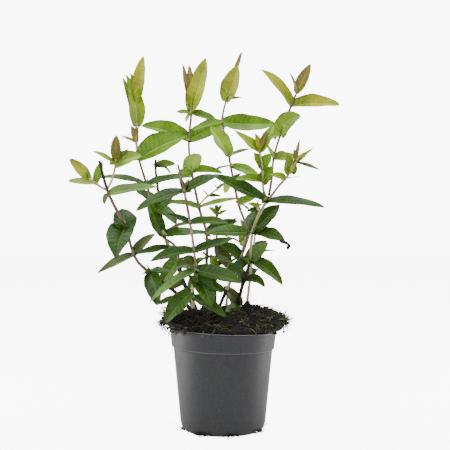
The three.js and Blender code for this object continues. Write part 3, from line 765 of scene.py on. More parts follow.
# An uncut stem narrows over the last share of its length
TIP_FROM = 0.96
TIP_TAPER = 18
AIM_STEP = 0.004
STEMS = [{
    "name": "left_stem", "radius": [2.0, 1.5], "parts": [262], "cut": True,
    "bark": [(222, "old"), (246, "brown"), (252, "tan"), (330, "brown"), (400, "old")],
    "route": [[-33, -12, 150], [-60, -24, 188], [-101, -40, 222], [-119, -48, 244], [-130, -58, 283],
              [-151, -66, 327], [-163, -70, 371]],
    "pairs": [
        [181, [188, 8, 30, 37, 17, 35, "deep"]],
        [220, [290, -25, 50, 55, 26, 30, "deep"], [20, 15, 25, 30, 16, 35, "deep"]],
        [245, [185, -23, 8, 55, 18, -45, "grey"], [20, 58, 28, 42, 17, 45, "grey"]],
        [283, [252, -30, 44, 54, 42, 0, "deep"], [103, 50, 28, 42, 34, 0, "deep"]],
        [327, [5, 16, 16, 66, 21, 42, "sage"], [230, -30, 60, 17, 9, 20, "grey"]],
    ],
}, {
    "name": "left_low_shoot", "from": "left_stem", "radius": [1.2, 1.0],
    "bark": [(400, "tan")],
    "route": [[-152, -66, 331], [-162, -70, 337], [-170, -74, 343], [-177, -76, 348]],
    "pairs": [
        [341, [192, 10, 12, 38, 11, -55, "pale"], [70, 70, 20, 34, 12, 20, "bright"]],
        [347, [188, 48, 4, 37, 16, 75, "young"], [130, 60, 15, 21, 7, 0, "bronze"]],
    ],
}, {
    "name": "left_high_shoot", "from": "left_stem", "radius": [1.2, 1.0],
    "bark": [(400, "tan")],
    "route": [[-153, -66, 334], [-148, -58, 345], [-144, -52, 363], [-143, -50, 374]],
    "pairs": [
        [365, [200, 42, 20, 36, 12, 40, "pale"], [12, 36, 30, 38, 26, 50, "pale"]],
        [373, [90, 95, 10, 33, 15, 0, "bronze"], [20, 42, 5, 24, 7, 30, "grey"]],
    ],
}, {
    "name": "tall_left_stem", "radius": [2.0, 1.2], "parts": [287, 358, 396],
    "bark": [(225, "old"), (389, "brown"), (470, "pink")],
    "route": [[-35, -1, 150], [-56, 14, 205], [-67, 24, 251], [-86, 31, 268], [-98, 42, 303],
              [-110, 50, 341], [-124, 60, 389], [-126, 66, 436], [-125, 68, 462]],
    "pairs": [
        [203, [186, -14, 30, 24, 15, 45, "dead"]],
        [233, [200, -42, 20, 42, 29, 34, "mid"], [55, 10, 30, 51, 18, 0, "deep"]],
        [268, [180, 66, -4, 52, 22, 65, "mid"], [355, 14, 20, 54, 21, 42, "mid"]],
        [305, [18, 42, 20, 34, 28, 62, "deep"], [325, 2, 60, 47, 22, 30, "deep"]],
        [340, [185, 24, 34, 74, 14, 38, "mid"], [12, 22, 26, 69, 18, 38, "mid"]],
        [377, [10, 36, 20, 76, 42, 50, "bright"], [145, 5, 20, 44, 15, 0, "mid"]],
        [401, [185, 22, -4, 25, 8, 40, "young"], [90, 25, 20, 18, 7, 0, "young"]],
        [402, [188, 74, 0, 25, 11, 70, "bronze"], [0, 88, 10, 23, 8, 60, "bronze"]],
        [426, [178, 95, 36, 78, 27, 62, "lime"], [180, 80, 12, 73, 13, 55, "pale"]],
        [460, [0, 86, 8, 68, 21, 75, "young"], [135, 75, 8, 47, 15, 0, "bronze"]],
    ],
}, {
    "name": "back_stump", "radius": [1.8, 1.4], "parts": [280, 340], "cut": True,
    "bark": [(400, "old")],
    "route": [[-30, 7, 150], [-64, 44, 219], [-84, 66, 263], [-98, 88, 349], [-100, 92, 378]],
    "pairs": [
        [250, [186, -8, 8, 47, 14, 45, "deep"], [50, 0, 25, 43, 14, 0, "deep"]],
        [308, [140, 35, 20, 55, 21, 20, "deep"], [35, 25, 25, 39, 13, 20, "mid"]],
        [369, [10, 16, 24, 30, 13, 75, "pale"], [205, 25, 20, 9, 4, 0, "bronze"]],
        [370, [340, 5, 70, 31, 6, 30, "dead"]],
    ],
}, {
    "name": "tall_back_stem", "radius": [2.0, 1.2], "parts": [290, 333, 428],
    "bark": [(215, "old"), (330, "brown"), (470, "mauve")],
    "route": [[-29, 15, 150], [-24, 36, 218], [-24, 54, 270], [-35, 70, 307], [-48, 94, 369],
              [-51, 106, 407], [-48, 114, 442], [-48, 116, 460]],
    "pairs": [
        [236, [320, 5, 30, 49, 19, 0, "deep"], [215, -22, 25, 36, 14, 0, "deep"]],
        [270, [12, 30, 18, 50, 20, 45, "deep"], [178, 2, 12, 56, 15, 32, "mid"]],
        [307, [188, 25, 30, 46, 15, 40, "bright"], [12, 18, 10, 62, 13, 30, "pale"]],
        [358, [192, 10, 30, 22, 16, 68, "pale"]],
        [360, [285, 56, 25, 38, 30, 4, "pale"], [15, 12, 30, 48, 17, 42, "bright"]],
        [407, [190, 28, 25, 74, 33, 50, "bright"], [11, 33, 24, 66, 30, 58, "bright"]],
        [448, [190, 8, 10, 23, 11, 45, "bright"], [350, -14, 6, 40, 18, 42, "bright"]],
        [449, [240, -30, 30, 23, 8, 0, "pale"]],
        [452, [342, 70, -6, 81, 31, 82, "young"], [95, 80, 6, 70, 12, 0, "bronze"]],
        [458, [175, 77, -2, 66, 11, 60, "bronze"], [110, 86, 0, 64, 11, 40, "bronze"]],
    ],
}, {
    "name": "back_twig", "from": "tall_back_stem", "radius": [0.9, 0.8],
    "bark": [(400, "tan")],
    "route": [[-35, 71, 311], [-25, 74, 322], [-13, 78, 331], [-7, 80, 335]],
    "pairs": [
        [324, [20, 10, 20, 22, 7, 50, "mid"], [215, 50, 15, 13, 6, 50, "bright"]],
        [334, [20, 45, 10, 15, 6, 50, "bright"], [210, 55, 10, 12, 5, 50, "lime"]],
    ],
}, {
    "name": "tall_right_stem", "radius": [1.8, 1.1], "parts": [258, 330, 405],
    "bark": [(192, "old"), (245, "tan"), (400, "brown"), (470, "mauve")],
    "route": [[-13, 3, 150], [4, -4, 192], [24, -8, 237], [34, 2, 273], [22, 26, 313], [11, 50, 367],
              [7, 58, 392], [-1, 70, 434], [5, 74, 466]],
    "pairs": [
        [189, [150, 55, 30, 25, 12, 0, "deep"]],
        [240, [155, -15, 50, 32, 12, 0, "deep"], [295, 5, 50, 29, 12, 0, "mid"]],
        [241, [195, 35, 15, 37, 21, 45, "deep"]],
        [273, [185, 5, 14, 58, 25, 45, "mid"], [60, 60, 20, 42, 21, 0, "deep"]],
        [313, [350, 28, 20, 25, 16, 50, "bright"], [45, -5, 40, 25, 7, 0, "mid"]],
        [346, [215, -30, 40, 24, 17, 20, "pale"], [55, 40, 30, 27, 11, 0, "mid"]],
        [367, [350, -8, 26, 47, 17, 50, "bright"], [135, 0, 20, 34, 10, 0, "mid"]],
        [382, [198, 60, 10, 50, 30, 64, "pale"], [25, 25, 18, 39, 10, 30, "grey"]],
        [431, [5, -5, -12, 77, 29, 62, "bright"], [200, -5, 20, 48, 16, 40, "bright"]],
        [462, [338, 67, -6, 55, 31, 82, "young"], [24, 68, -6, 77, 11, 30, "bronze"]],
        [464, [26, 70, 2, 77, 12, 30, "bronze"], [12, 16, 10, 24, 7, 40, "bronze"]],
    ],
}, {
    "name": "right_stem", "radius": [2.0, 1.3], "parts": [255],
    "bark": [(166, "tan"), (232, "old"), (314, "tan"), (330, "old")],
    "route": [[16, 12, 150], [27, 0, 200], [36, -12, 231], [40, -24, 272], [48, -32, 297], [60, -40, 319],
              [62, -40, 324]],
    "pairs": [
        [172, [196, 57, 10, 34, 23, 66, "dead"]],
        [173, [242, -14, 8, 40, 15, 40, "mid"]],
        [203, [345, 45, 110, 36, 19, 30, "deep"], [115, 55, 30, 43, 17, 0, "deep"]],
        [236, [192, -26, 20, 36, 19, 45, "deep"]],
        [237, [345, -19, 36, 58, 25, 40, "mid"], [10, 48, 12, 35, 22, 65, "sage"]],
        [275, [15, 46, 5, 54, 27, 45, "deep"], [335, 0, 30, 49, 24, 36, "mid"]],
        [317, [192, 27, 4, 83, 28, 40, "deep"], [355, 5, 20, 80, 19, 38, "deep"]],
    ],
}, {
    "name": "right_bud", "from": "right_stem", "radius": [1.1, 0.9],
    "bark": [(400, "tan")],
    "route": [[51, -33, 300], [48, -43, 305], [45, -53, 311]],
    "pairs": [
        [305, [190, 10, 30, 16, 10, 45, "mid"], [100, 25, 10, 12, 5, 0, "mid"]],
        [310, [195, 28, 20, 14, 10, 50, "lime"], [20, 30, 20, 10, 5, 30, "young"]],
    ],
}, {
    "name": "right_tall_shoot", "from": "right_stem", "radius": [1.4, 1.0], "parts": [428],
    "bark": [(470, "brown")],
    "route": [[62, -40, 325], [66, -36, 348], [69, -32, 377], [78, -26, 407], [93, -20, 447],
              [101, -18, 466]],
    "pairs": [
        [374, [15, 15, 28, 36, 20, 42, "pale"], [230, 55, 10, 28, 10, 10, "pale"]],
        [407, [0, 84, 80, 42, 27, 66, "pale"], [180, 20, 110, 32, 16, 55, "pale"]],
        [447, [195, 60, 24, 65, 22, 60, "young"], [5, 12, 20, 69, 24, 50, "young"]],
        [465, [0, 65, 2, 44, 17, 75, "bronze"], [200, 72, 6, 30, 8, 0, "bronze"]],
    ],
}, {
    "name": "right_mid_shoot", "from": "right_stem", "radius": [1.3, 1.0], "parts": [373],
    "bark": [(350, "pink"), (400, "tan")],
    "route": [[59, -41, 321], [54, -51, 334], [53, -62, 358], [48, -70, 385]],
    "pairs": [
        [343, [190, 22, 34, 38, 16, 38, "bright"], [352, 62, 6, 25, 21, 72, "bright"]],
        [356, [230, 40, 15, 13, 5, 0, "lime"], [55, 55, 15, 18, 7, 0, "lime"]],
        [362, [192, 60, 4, 23, 17, 65, "bright"], [350, 62, 8, 22, 18, 68, "bright"]],
        [382, [195, 40, 0, 46, 19, 50, "lime"], [0, 62, -4, 40, 18, 60, "pale"]],
        [384, [185, 78, 5, 24, 12, 60, "young"], [0, 70, 5, 26, 9, 60, "bronze"]],
    ],
}, {
    "name": "right_low_shoot", "from": "right_stem", "radius": [1.3, 1.0],
    "bark": [(345, "mauve"), (400, "tan")],
    "route": [[62, -42, 320], [73, -58, 336], [86, -72, 352], [97, -84, 370]],
    "pairs": [
        [347, [190, 25, 20, 22, 13, 50, "lime"], [335, 15, 20, 23, 5, 0, "grey"]],
        [355, [180, 84, 0, 25, 20, 75, "lime"], [285, 10, 40, 17, 7, 0, "mid"]],
        [366, [15, 80, 4, 33, 7, 40, "bronze"], [235, -35, 40, 18, 8, 0, "lime"]],
        [368, [350, 42, 4, 30, 11, 45, "lime"], [350, -12, 10, 32, 9, 30, "mid"]],
        [369, [305, 45, 10, 18, 7, 0, "young"], [170, 80, 5, 17, 8, 60, "bronze"]],
    ],
}, {
    "name": "front_stem", "radius": [1.8, 1.2], "parts": [237, 310], "cut": True,
    "bark": [(172, "old"), (250, "tan"), (300, "mauve"), (322, "brown"), (334, "tan"), (400, "brown")],
    "route": [[-40, -19, 150], [-41, -40, 195], [-37, -56, 225], [-38, -68, 251], [-43, -80, 289],
              [-50, -90, 330], [-58, -96, 365]],
    "pairs": [
        [187, [345, -18, 24, 53, 21, 42, "deep"]],
        [195, [195, -35, 25, 56, 29, 45, "mid"]],
        [214, [350, -17, 20, 43, 21, 45, "deep"]],
        [217, [335, -40, 36, 48, 29, 42, "mid"], [115, -20, 60, 30, 10, 0, "deep"]],
        [225, [200, -23, 22, 76, 17, 35, "sage"], [350, -7, 16, 66, 25, 50, "mid"]],
        [232, [188, 10, 30, 24, 19, 55, "grey"]],
        [235, [205, 48, 50, 20, 12, 50, "grey"], [330, 50, 60, 16, 9, 40, "bright"]],
        [251, [190, 0, 22, 60, 20, 38, "deep"], [10, 20, 6, 56, 18, 40, "deep"]],
        [290, [180, 24, 14, 34, 11, 48, "deep"]],
        [289, [184, -8, 10, 28, 9, -40, "grey"], [352, 10, 20, 51, 18, 38, "mid"]],
        [330, [190, -7, 28, 69, 22, 35, "deep"], [355, 34, 18, 50, 25, 42, "deep"]],
        [331, [186, 74, 5, 19, 8, 70, "bronze"], [55, 60, 10, 21, 6, 0, "bronze"]],
    ],
}, {
    "name": "back_short_stem", "radius": [1.6, 1.2], "parts": [262], "cut": True,
    "bark": [(230, "old"), (400, "brown")],
    "route": [[-12, 23, 150], [-10, 62, 227], [-9, 84, 284], [-9, 92, 311]],
    "pairs": [
        [218, [175, 72, 8, 23, 15, 60, "bright"], [35, 40, 20, 44, 17, 0, "deep"]],
        [250, [336, -52, 8, 42, 22, 52, "dead"], [140, 35, 25, 30, 12, 0, "deep"]],
        [277, [145, 35, 20, 30, 12, 0, "mid"], [35, 30, 20, 40, 16, 0, "mid"]],
        [296, [190, 50, 10, 17, 9, 60, "pale"], [12, 30, 10, 18, 6, 50, "bright"]],
        [300, [10, 62, 10, 14, 6, 60, "bright"], [175, 74, 5, 12, 5, 60, "sage"]],
    ],
}, {
    "name": "back_low_stem", "radius": [1.6, 1.0],
    "bark": [(160, "old"), (300, "tan")],
    "route": [[3, 25, 150], [8, 54, 192], [19, 78, 216], [27, 98, 238], [34, 114, 264]],
    "pairs": [
        [206, [75, 25, 40, 50, 20, 0, "deep"], [160, 30, 40, 40, 16, 0, "deep"]],
        [228, [120, 35, 35, 48, 19, 0, "mid"], [35, 20, 35, 36, 15, 0, "mid"]],
        [250, [85, 45, 30, 44, 18, 0, "bright"], [170, 40, 30, 34, 13, 0, "mid"]],
        [263, [60, 65, 10, 34, 13, 0, "lime"], [125, 70, 10, 30, 11, 0, "young"]],
    ],
}, {
    "name": "back_right_stem", "radius": [1.6, 1.0],
    "bark": [(160, "old"), (300, "tan")],
    "route": [[31, 24, 150], [37, 46, 190], [41, 66, 222], [46, 86, 258], [50, 96, 286]],
    "pairs": [
        [208, [70, 30, 40, 44, 18, 0, "deep"], [200, 15, 40, 30, 13, 0, "deep"]],
        [238, [60, 40, 35, 50, 20, 0, "deep"], [340, 25, 30, 36, 14, 0, "mid"]],
        [268, [45, 45, 30, 46, 18, 0, "bright"], [160, 50, 25, 34, 13, 0, "mid"]],
        [285, [80, 70, 8, 36, 13, 0, "lime"], [10, 70, 10, 30, 10, 0, "young"]],
    ],
}]


def along_route(route, share):
    # The point at a share of the route, on one smooth curve through all its bends
    spans = len(route) - 1
    span = min(int(share * spans), spans - 1)
    local = share * spans - span
    near = route[span]
    far = route[span + 1]
    before = route[span - 1] if span > 0 else near * 2 - far
    after = route[span + 2] if span + 2 <= spans else far * 2 - near
    start_pull = (far - before) * 0.5
    end_pull = (after - near) * 0.5
    square = local * local
    cube = square * local
    return (
        near * (2 * cube - 3 * square + 1) + start_pull * (cube - 2 * square + local)
        + far * (3 * square - 2 * cube) + end_pull * (cube - square)
    )


def share_at_height(route, height):
    low, high = 0.0, 1.0
    for step in range(24):
        middle = (low + high) / 2
        if along_route(route, middle).z < height:
            low = middle
        else:
            high = middle
    return low


bark_kinds = {
    "old": plain_finish("bark_old", (22, 15, 12), (46, 33, 26), 260.0, 0.8, 0.6),
    "brown": plain_finish("bark_brown", (98, 76, 62), (120, 96, 78), 120.0, 0.6, 0.3),
    "mauve": plain_finish("bark_mauve", (130, 110, 96), (150, 130, 112), 110.0, 0.5, 0.2),
    "tan": plain_finish("bark_tan", (156, 144, 96), (178, 166, 122), 100.0, 0.5, 0.2),
    "pink": plain_finish("bark_pink", (172, 142, 104), (192, 164, 126), 100.0, 0.5, 0.1),
    "cut": plain_finish("cut_wood", (112, 92, 66), (150, 128, 96), 300.0, 0.8, 0.3),
}
bark_order = list(bark_kinds)
wood = Form()
wood_nodes = []
for stem in STEMS:
    stem["route"] = [Vector(point) for point in stem["route"]]
    route = stem["route"]
    thick, thin = stem["radius"]
    bottom = 0.0
    if "from" not in stem:
        bottom = share_at_height(route, soil_height(route[0].x, route[0].y) - FOOT_DEPTH)
        wood_nodes.append(stem["name"] + "_foot")
    for mass in range(len(stem.get("parts", [])) + 1):
        wood_nodes.append(f"{stem['name']}_leaves_{mass + 1}")
    length = sum((far - near).length for near, far in zip(route, route[1:]))
    rings = max(8, round(length / STEM_STEP))
    first = len(wood.points)
    across = Vector((0, 1, 0))
    row_slots = []
    for ring in range(rings + 1):
        share = bottom + (1 - bottom) * ring / rings
        middle = along_route(route, share)
        ahead = along_route(route, min(1, share + AIM_STEP))
        along = (ahead - along_route(route, max(0, share - AIM_STEP))).normalized()
        across = (across - along * across.dot(along)).normalized()
        other = along.cross(across)
        flare = 0 if "from" in stem else min(max(1 - (middle.z - SOIL_TOP) / FLARE_HEIGHT, 0), 1)
        radius = thick + (thin - thick) * share + FOOT_FLARE * flare
        for joint, *leaves in stem["pairs"]:
            radius += JOINT_SWELLING * math.exp(-((middle.z - joint) / JOINT_LENGTH) ** 2)
        if "cut" not in stem and share > TIP_FROM:
            radius *= 1 - (share - TIP_FROM) * TIP_TAPER
        radius += STEM_BARK
        for side in range(STEM_SIDES):
            angle = 2 * math.pi * side / STEM_SIDES
            c, s = math.cos(angle), math.sin(angle)
            ridge = 1 + BARK_RIDGES * math.cos(2 * angle + middle.z * RIDGE_TWIST)
            knob = 1 + BARK_KNOBS * noise.noise(Vector((c * 2, s * 2, middle.z / KNOB_LENGTH)))
            wood.points.append(middle + (across * c + other * s) * radius * ridge * knob)
        if ring < rings:
            kind = next(word for top, word in stem["bark"] if middle.z <= top)
            row_slots.append(bark_order.index(kind))
    tip_kind = "cut" if "cut" in stem else "tan"
    wood.skin_tube(first, STEM_SIDES, row_slots, 0, bark_order.index(tip_kind))
wood.make("stems", bark_kinds.values(), wood_nodes, "bark")

# Leaves
# Thin leathery leaves without stalks, in opposite pairs: a folded blade with a pale
# raised rib, veins that quilt it, and a slightly waved margin. Lower ones are deep
# green, upper ones bright, and the newest upright, olive and edged with bronze. The
# underside is paler.
#
# The outline widens from the base by its growth and narrows to the tip by its taper.
# A heart-shaped leaf is broad for its length, and its base reaches back further.
LEAF_GROWTH = 0.5
HEART_GROWTH = 0.36
HEART_TAPER = 1.05
HEART_FROM = 0.6
HEART_LOBE = 0.16
PLAIN_LOBE = 0.045
LEAF_STATIONS = 44
LEAF_COLUMNS = [-1, -0.91, -0.78, -0.62, -0.44, -0.26, -0.12, -0.04,
                0.04, 0.12, 0.26, 0.44, 0.62, 0.78, 0.91, 1]
SPINE_STEPS = 24
# Rows of points start just past the root, end just short of the tip, and crowd there
LEAF_START = 0.012
LEAF_SPAN = 0.984
END_CROWDING = 0.25
# The fold of the blade in degrees, and how it eases to the tip
LEAF_FOLD = 20
FOLD_AT_BASE = 1.1
FOLD_EASE = 0.3
# The blade's thickness each way from its middle face, and the rib's below it
LEAF_SHELL = 0.17
MARGIN_THINNING = 0.55
RIB_SHELL = 0.22
RIB_WIDTH = 0.07
RIB_GROOVE = 0.05
GROOVE_WIDTH = 0.1
# How far a leaf may twist in degrees, and bow, wave and cup for its size
LEAF_TWIST = 9
LEAF_BOW = 0.03
LEAF_WAVE = (0.04, 0.12)
WAVE_RATE = 11
# The other half of a blade waves the opposite way, and less
OTHER_HALF = -0.6
LEAF_CUP = (-0.1, 0.12)
YOUNG_CUP = 0.12
MARGIN_RIPPLE = 0.018
RIPPLE_RATE = 23
# One vein for so many millimetres of length, how far it slants forward, and its relief
VEIN_GAP = 6.5
LEAST_VEINS = 5
VEIN_SLANT = 1.1
VEIN_RELIEF = 0.033
VEIN_CREST = 0.84
VEIN_TINT = 0.28
RIB_REACH = 0.05
MARGIN_REACH = 0.95
BASE_SHARE = 0.3
BASE_RAGGED = 0.16
# How fast each kind of blade narrows to its tip, and the screen colours of its
# blade, underside, margin, raised rib and base
LEAF_KINDS = {
    # The margins of deep and mid leaves are painted paler than their blades: a painted sheen for the light
    # that their rims catch
    "deep": (0.76, [(42, 76, 4), (84, 112, 36), (60, 90, 26), (92, 120, 40), (40, 72, 4)]),
    "mid": (0.76, [(52, 88, 0), (96, 126, 38), (72, 104, 28), (108, 138, 44), (48, 84, 2)]),
    "bright": (0.75, [(100, 142, 8), (128, 160, 44), (60, 88, 6), (154, 176, 70), (84, 126, 4)]),
    "lime": (1.1, [(132, 156, 20), (158, 180, 66), (96, 110, 16), (184, 196, 96), (110, 146, 16)]),
    "pale": (0.7, [(134, 166, 40), (156, 184, 76), (88, 120, 24), (186, 202, 112), (120, 158, 36)]),
    "sage": (0.85, [(98, 134, 58), (132, 162, 88), (66, 98, 34), (158, 182, 116), (92, 128, 50)]),
    "grey": (0.9, [(88, 106, 50), (94, 108, 58), (54, 70, 26), (140, 152, 96), (84, 102, 46)]),
    "young": (0.78, [(160, 167, 32), (178, 180, 70), (116, 92, 18), (192, 192, 90), (120, 152, 12)]),
    "bronze": (0.78, [(124, 112, 50), (156, 144, 90), (82, 62, 22), (182, 168, 100), (132, 132, 36)]),
    "dead": (0.85, [(76, 84, 20), (92, 98, 42), (56, 52, 18), (120, 118, 58), (72, 78, 20)]),
}
# The surfaces of a leaf in the order of their colours, with the roughness of each
SURFACES = [("", 0.34), ("_under", 0.6), ("_edge", 0.5), ("_rib", 0.5), ("_base", 0.36), ("_vein", 0.36)]
BLADE, UNDER, EDGE, RIB, BASE, VEIN = range(len(SURFACES))


def scaled(tone, factor):
    return paint(*(min(255, channel * factor) for channel in tone))


def leaf_finish(name, tone, roughness):
    made = Finish(name, roughness, gloss=0.28)
    spot = made.place()
    drift = made.ramp(made.cloud(spot, 38.0, detail=2.0), [(0.34, grey(0)), (0.66, grey(1))])
    cells = made.cloud(spot, 520.0)
    tinted = made.blend(drift, scaled(tone, 0.84), scaled(tone, 1.13))
    made.color(made.blend(cells * 0.35, tinted, scaled(tone, 0.82)))
    made.rough(roughness - 0.06 + cells * 0.12)
    made.bump(cells, strength=0.18, distance=0.0004)
    return made


def joint_at(stem, height):
    return along_route(stem["route"], share_at_height(stem["route"], height))


leaf_forms = {kind: Form() for kind in LEAF_KINDS}
leaf_nodes = {kind: set() for kind in LEAF_KINDS}


def add_leaf(stem, joint, values, chance, above=0, stations=LEAF_STATIONS):
    # Grows one leaf from its stem's middle line along a rib that bends down evenly
    heading, rise, droop, length, breadth, turn, kind = values
    form = leaf_forms[kind]
    mass = 1 + sum(joint > top for top in stem.get("parts", []))
    leaf_nodes[kind].add(f"{stem['name']}_leaves_{mass}")
    outward = heading_along(math.radians(heading), 0)
    sideways = Vector((-outward.y, outward.x, 0))
    roll = math.radians(turn) * (-1 if outward.x < 0 else 1)
    twist = math.radians(chance.uniform(-LEAF_TWIST, LEAF_TWIST))
    bow = length * chance.uniform(-LEAF_BOW, LEAF_BOW)
    wave = chance.uniform(*LEAF_WAVE)
    phase = chance.uniform(0, 6.28)
    cup = chance.uniform(*LEAF_CUP) + (YOUNG_CUP if kind in ("young", "bronze") else 0)
    patch = chance.uniform(0, 50)
    veins = max(LEAST_VEINS, length / VEIN_GAP)
    is_heart = breadth / length > HEART_FROM
    taper = HEART_TAPER if is_heart and kind == "deep" else LEAF_KINDS[kind][0]
    growth = HEART_GROWTH if is_heart else LEAF_GROWTH
    lobe = HEART_LOBE if is_heart else PLAIN_LOBE
    widest = growth / (growth + taper)
    spine = [joint_at(stem, joint + above)]
    for step in range(SPINE_STEPS):
        pitch = math.radians(rise - droop * (step + 0.5) / SPINE_STEPS)
        stride = (outward * math.cos(pitch) + Vector((0, 0, math.sin(pitch)))) * length / SPINE_STEPS
        spine.append(spine[-1] + stride)
    columns = len(LEAF_COLUMNS)
    start = len(form.points)
    under = []
    for row in range(stations + 1):
        even = row / stations
        eased = even * even * (3 - 2 * even)
        station = LEAF_START + LEAF_SPAN * (even * (1 - END_CROWDING) + END_CROWDING * eased)
        swell = (station / widest) ** growth * ((1 - station) / (1 - widest)) ** taper
        half = breadth / 2 * swell
        turned = roll + twist * station
        for column in LEAF_COLUMNS:
            side = abs(column)
            along = station - lobe * side ** 1.5 * (1 - station) ** 5
            step = min(SPINE_STEPS - 1, max(0, int(along * SPINE_STEPS)))
            rib = spine[step].lerp(spine[step + 1], along * SPINE_STEPS - step)
            pitch = math.radians(rise - droop * along)
            flat = Vector((0, 0, math.cos(pitch))) - outward * math.sin(pitch)
            across = sideways * math.cos(turned) + flat * math.sin(turned)
            upper = flat * math.cos(turned) - sideways * math.sin(turned)
            fold = math.radians(LEAF_FOLD) * (FOLD_AT_BASE - FOLD_EASE * station)
            ripple = 1 + MARGIN_RIPPLE * math.sin(station * RIPPLE_RATE + phase + column)
            spread = half * math.cos(fold) * column * ripple
            lift = half * math.sin(fold) * side ** 1.2
            lift += half * cup * side ** 2.5
            waving = math.sin(station * WAVE_RATE + phase) * (1 if column > 0 else OTHER_HALF)
            lift += half * wave * waving * side * side
            quilt = math.cos(2 * math.pi * (station * veins - side * VEIN_SLANT))
            lift += VEIN_RELIEF * half * quilt * side * (1 - side) * 4 * min(1, 6 * (1 - station))
            lift -= RIB_GROOVE * half * math.exp(-((side / GROOVE_WIDTH) ** 2))
            middle = rib + across * (spread + bow * station * station) + upper * lift
            shell = LEAF_SHELL * (1 - MARGIN_THINNING * side)
            shell += RIB_SHELL * (1 - station) * math.exp(-((side / RIB_WIDTH) ** 2))
            form.points.append(middle + upper * min(shell, LEAF_SHELL))
            under.append(middle - upper * shell)
    form.points.extend(under)
    depth = (stations + 1) * columns
    for row in range(stations):
        for column in range(columns - 1):
            low = start + row * columns + column
            high = low + columns
            reach = abs(LEAF_COLUMNS[column] + LEAF_COLUMNS[column + 1]) / 2
            share = (row + 0.5) / stations
            ragged = share + BASE_RAGGED * noise.noise(Vector((patch, share * 9, column * 0.7)))
            crest = math.cos(2 * math.pi * (share * veins - reach * VEIN_SLANT))
            upper_slot = BASE if ragged < BASE_SHARE else BLADE
            under_slot = UNDER
            if reach < RIB_REACH:
                upper_slot = under_slot = RIB
            elif reach > MARGIN_REACH:
                upper_slot = under_slot = EDGE
            elif crest > VEIN_CREST and reach > 2 * RIB_REACH:
                upper_slot = VEIN
            form.add_face((low, high, high + 1, low + 1), upper_slot)
            form.add_face((low + depth, low + depth + 1, high + depth + 1, high + depth), under_slot)
        # The rim of the blade at both margins
        low = start + row * columns
        high = low + columns
        form.add_face((low, low + depth, high + depth, high), EDGE)
        low, high = low + columns - 1, high + columns - 1
        form.add_face((high, high + depth, low + depth, low), EDGE)
    # The rim at the base and at the tip
    for column in range(columns - 1):
        low = start + column
        form.add_face((low + 1, low + depth + 1, low + depth, low), UNDER)
        low += stations * columns
        form.add_face((low, low + depth, low + depth + 1, low + 1), EDGE)


for stem_index, stem in enumerate(STEMS):
    for row_index, (height, *leaves) in enumerate(stem["pairs"]):
        for leaf_index, values in enumerate(leaves):
            chance = random.Random(1000 * stem_index + 20 * row_index + leaf_index)
            add_leaf(stem, height, values, chance)

# Withered tip
# One leaf at the right has a tip that has shrivelled to a black curled thread, a
# little uneven in thickness and with a blunt end.
WITHERED_ROUTE = [(77, -45, 265), (81, -46, 262), (85.5, -47, 261.5), (88.5, -47, 258),
                  (88, -46.5, 255), (86, -46, 254)]
WITHERED_STEPS = 20
WITHERED_RADIUS = 1.9
WITHERED_UNEVEN = 0.4
WITHERED_GROWTH = 0.03
withered_route = [Vector(point) for point in WITHERED_ROUTE]
path = []
radii = []
for step in range(WITHERED_STEPS + 1):
    path.append(along_route(withered_route, step / WITHERED_STEPS))
    radii.append(WITHERED_RADIUS + WITHERED_UNEVEN * math.sin(step * 1.1) + WITHERED_GROWTH * step)
tip = Form()
tip.add_tube(path, radii, 6, 0)
withered = plain_finish("withered_leaf", (18, 14, 12), (46, 36, 28), 400.0)
tip.make("withered_tip", [withered], ["right_stem_leaves_2"], "foliage")

# Leaves across the pairs
# Smaller leaves of the same kinds, set square to the pairs and turned to the open
# middle of the plant, which fill it when it is seen from its sides.
CROSS_JOINTS = (215, 425)
CROSS_LEAST = 38
CROSS_MOST = 34
CROSS_SHARE = 0.55
CROSS_BREADTH = 0.4
CROSS_BOTH_WITHIN = 60
# The sway, rise, droop and turn of these leaves in degrees
CROSS_SWAY = 14
CROSS_RISE = (5, 30)
CROSS_DROOP = (10, 40)
CROSS_TURNS = (-50, 50)
chance = random.Random(23)
for stem in STEMS:
    for height, first_leaf, *others in stem["pairs"]:
        kind = first_leaf[6]
        if not CROSS_JOINTS[0] <= height <= CROSS_JOINTS[1]:
            continue
        if first_leaf[3] < CROSS_LEAST or kind in ("young", "bronze", "lime"):
            continue
        root = joint_at(stem, height)
        inward = 270 if root.y > 0 else 90
        length = min(CROSS_MOST, CROSS_SHARE * first_leaf[3])
        for heading in (inward, inward + 180):
            if heading != inward and abs(root.y) > CROSS_BOTH_WITHIN:
                continue
            sway = chance.uniform(-CROSS_SWAY, CROSS_SWAY)
            rise = chance.uniform(*CROSS_RISE)
            droop = chance.uniform(*CROSS_DROOP)
            turn = chance.choice(CROSS_TURNS)
            crossing = [heading + sway, rise, droop, length, length * CROSS_BREADTH, turn, kind]
            add_leaf(stem, height, crossing, chance)

# Leaflets in the joints
# Tiny new leaves stand in pairs in many of the joints, where a side shoot starts.
LEAFLET_SHARE = 0.5
LEAFLET_FIRST_JOINT = 235
LEAFLET_LEAST = 30
LEAFLET_ABOVE = 1.5
LEAFLET_LENGTH = (6, 11)
LEAFLET_BREADTH = 0.36
LEAFLET_DROOP = 12
LEAFLET_STATIONS = 10
LEAFLET_SWAY = 25
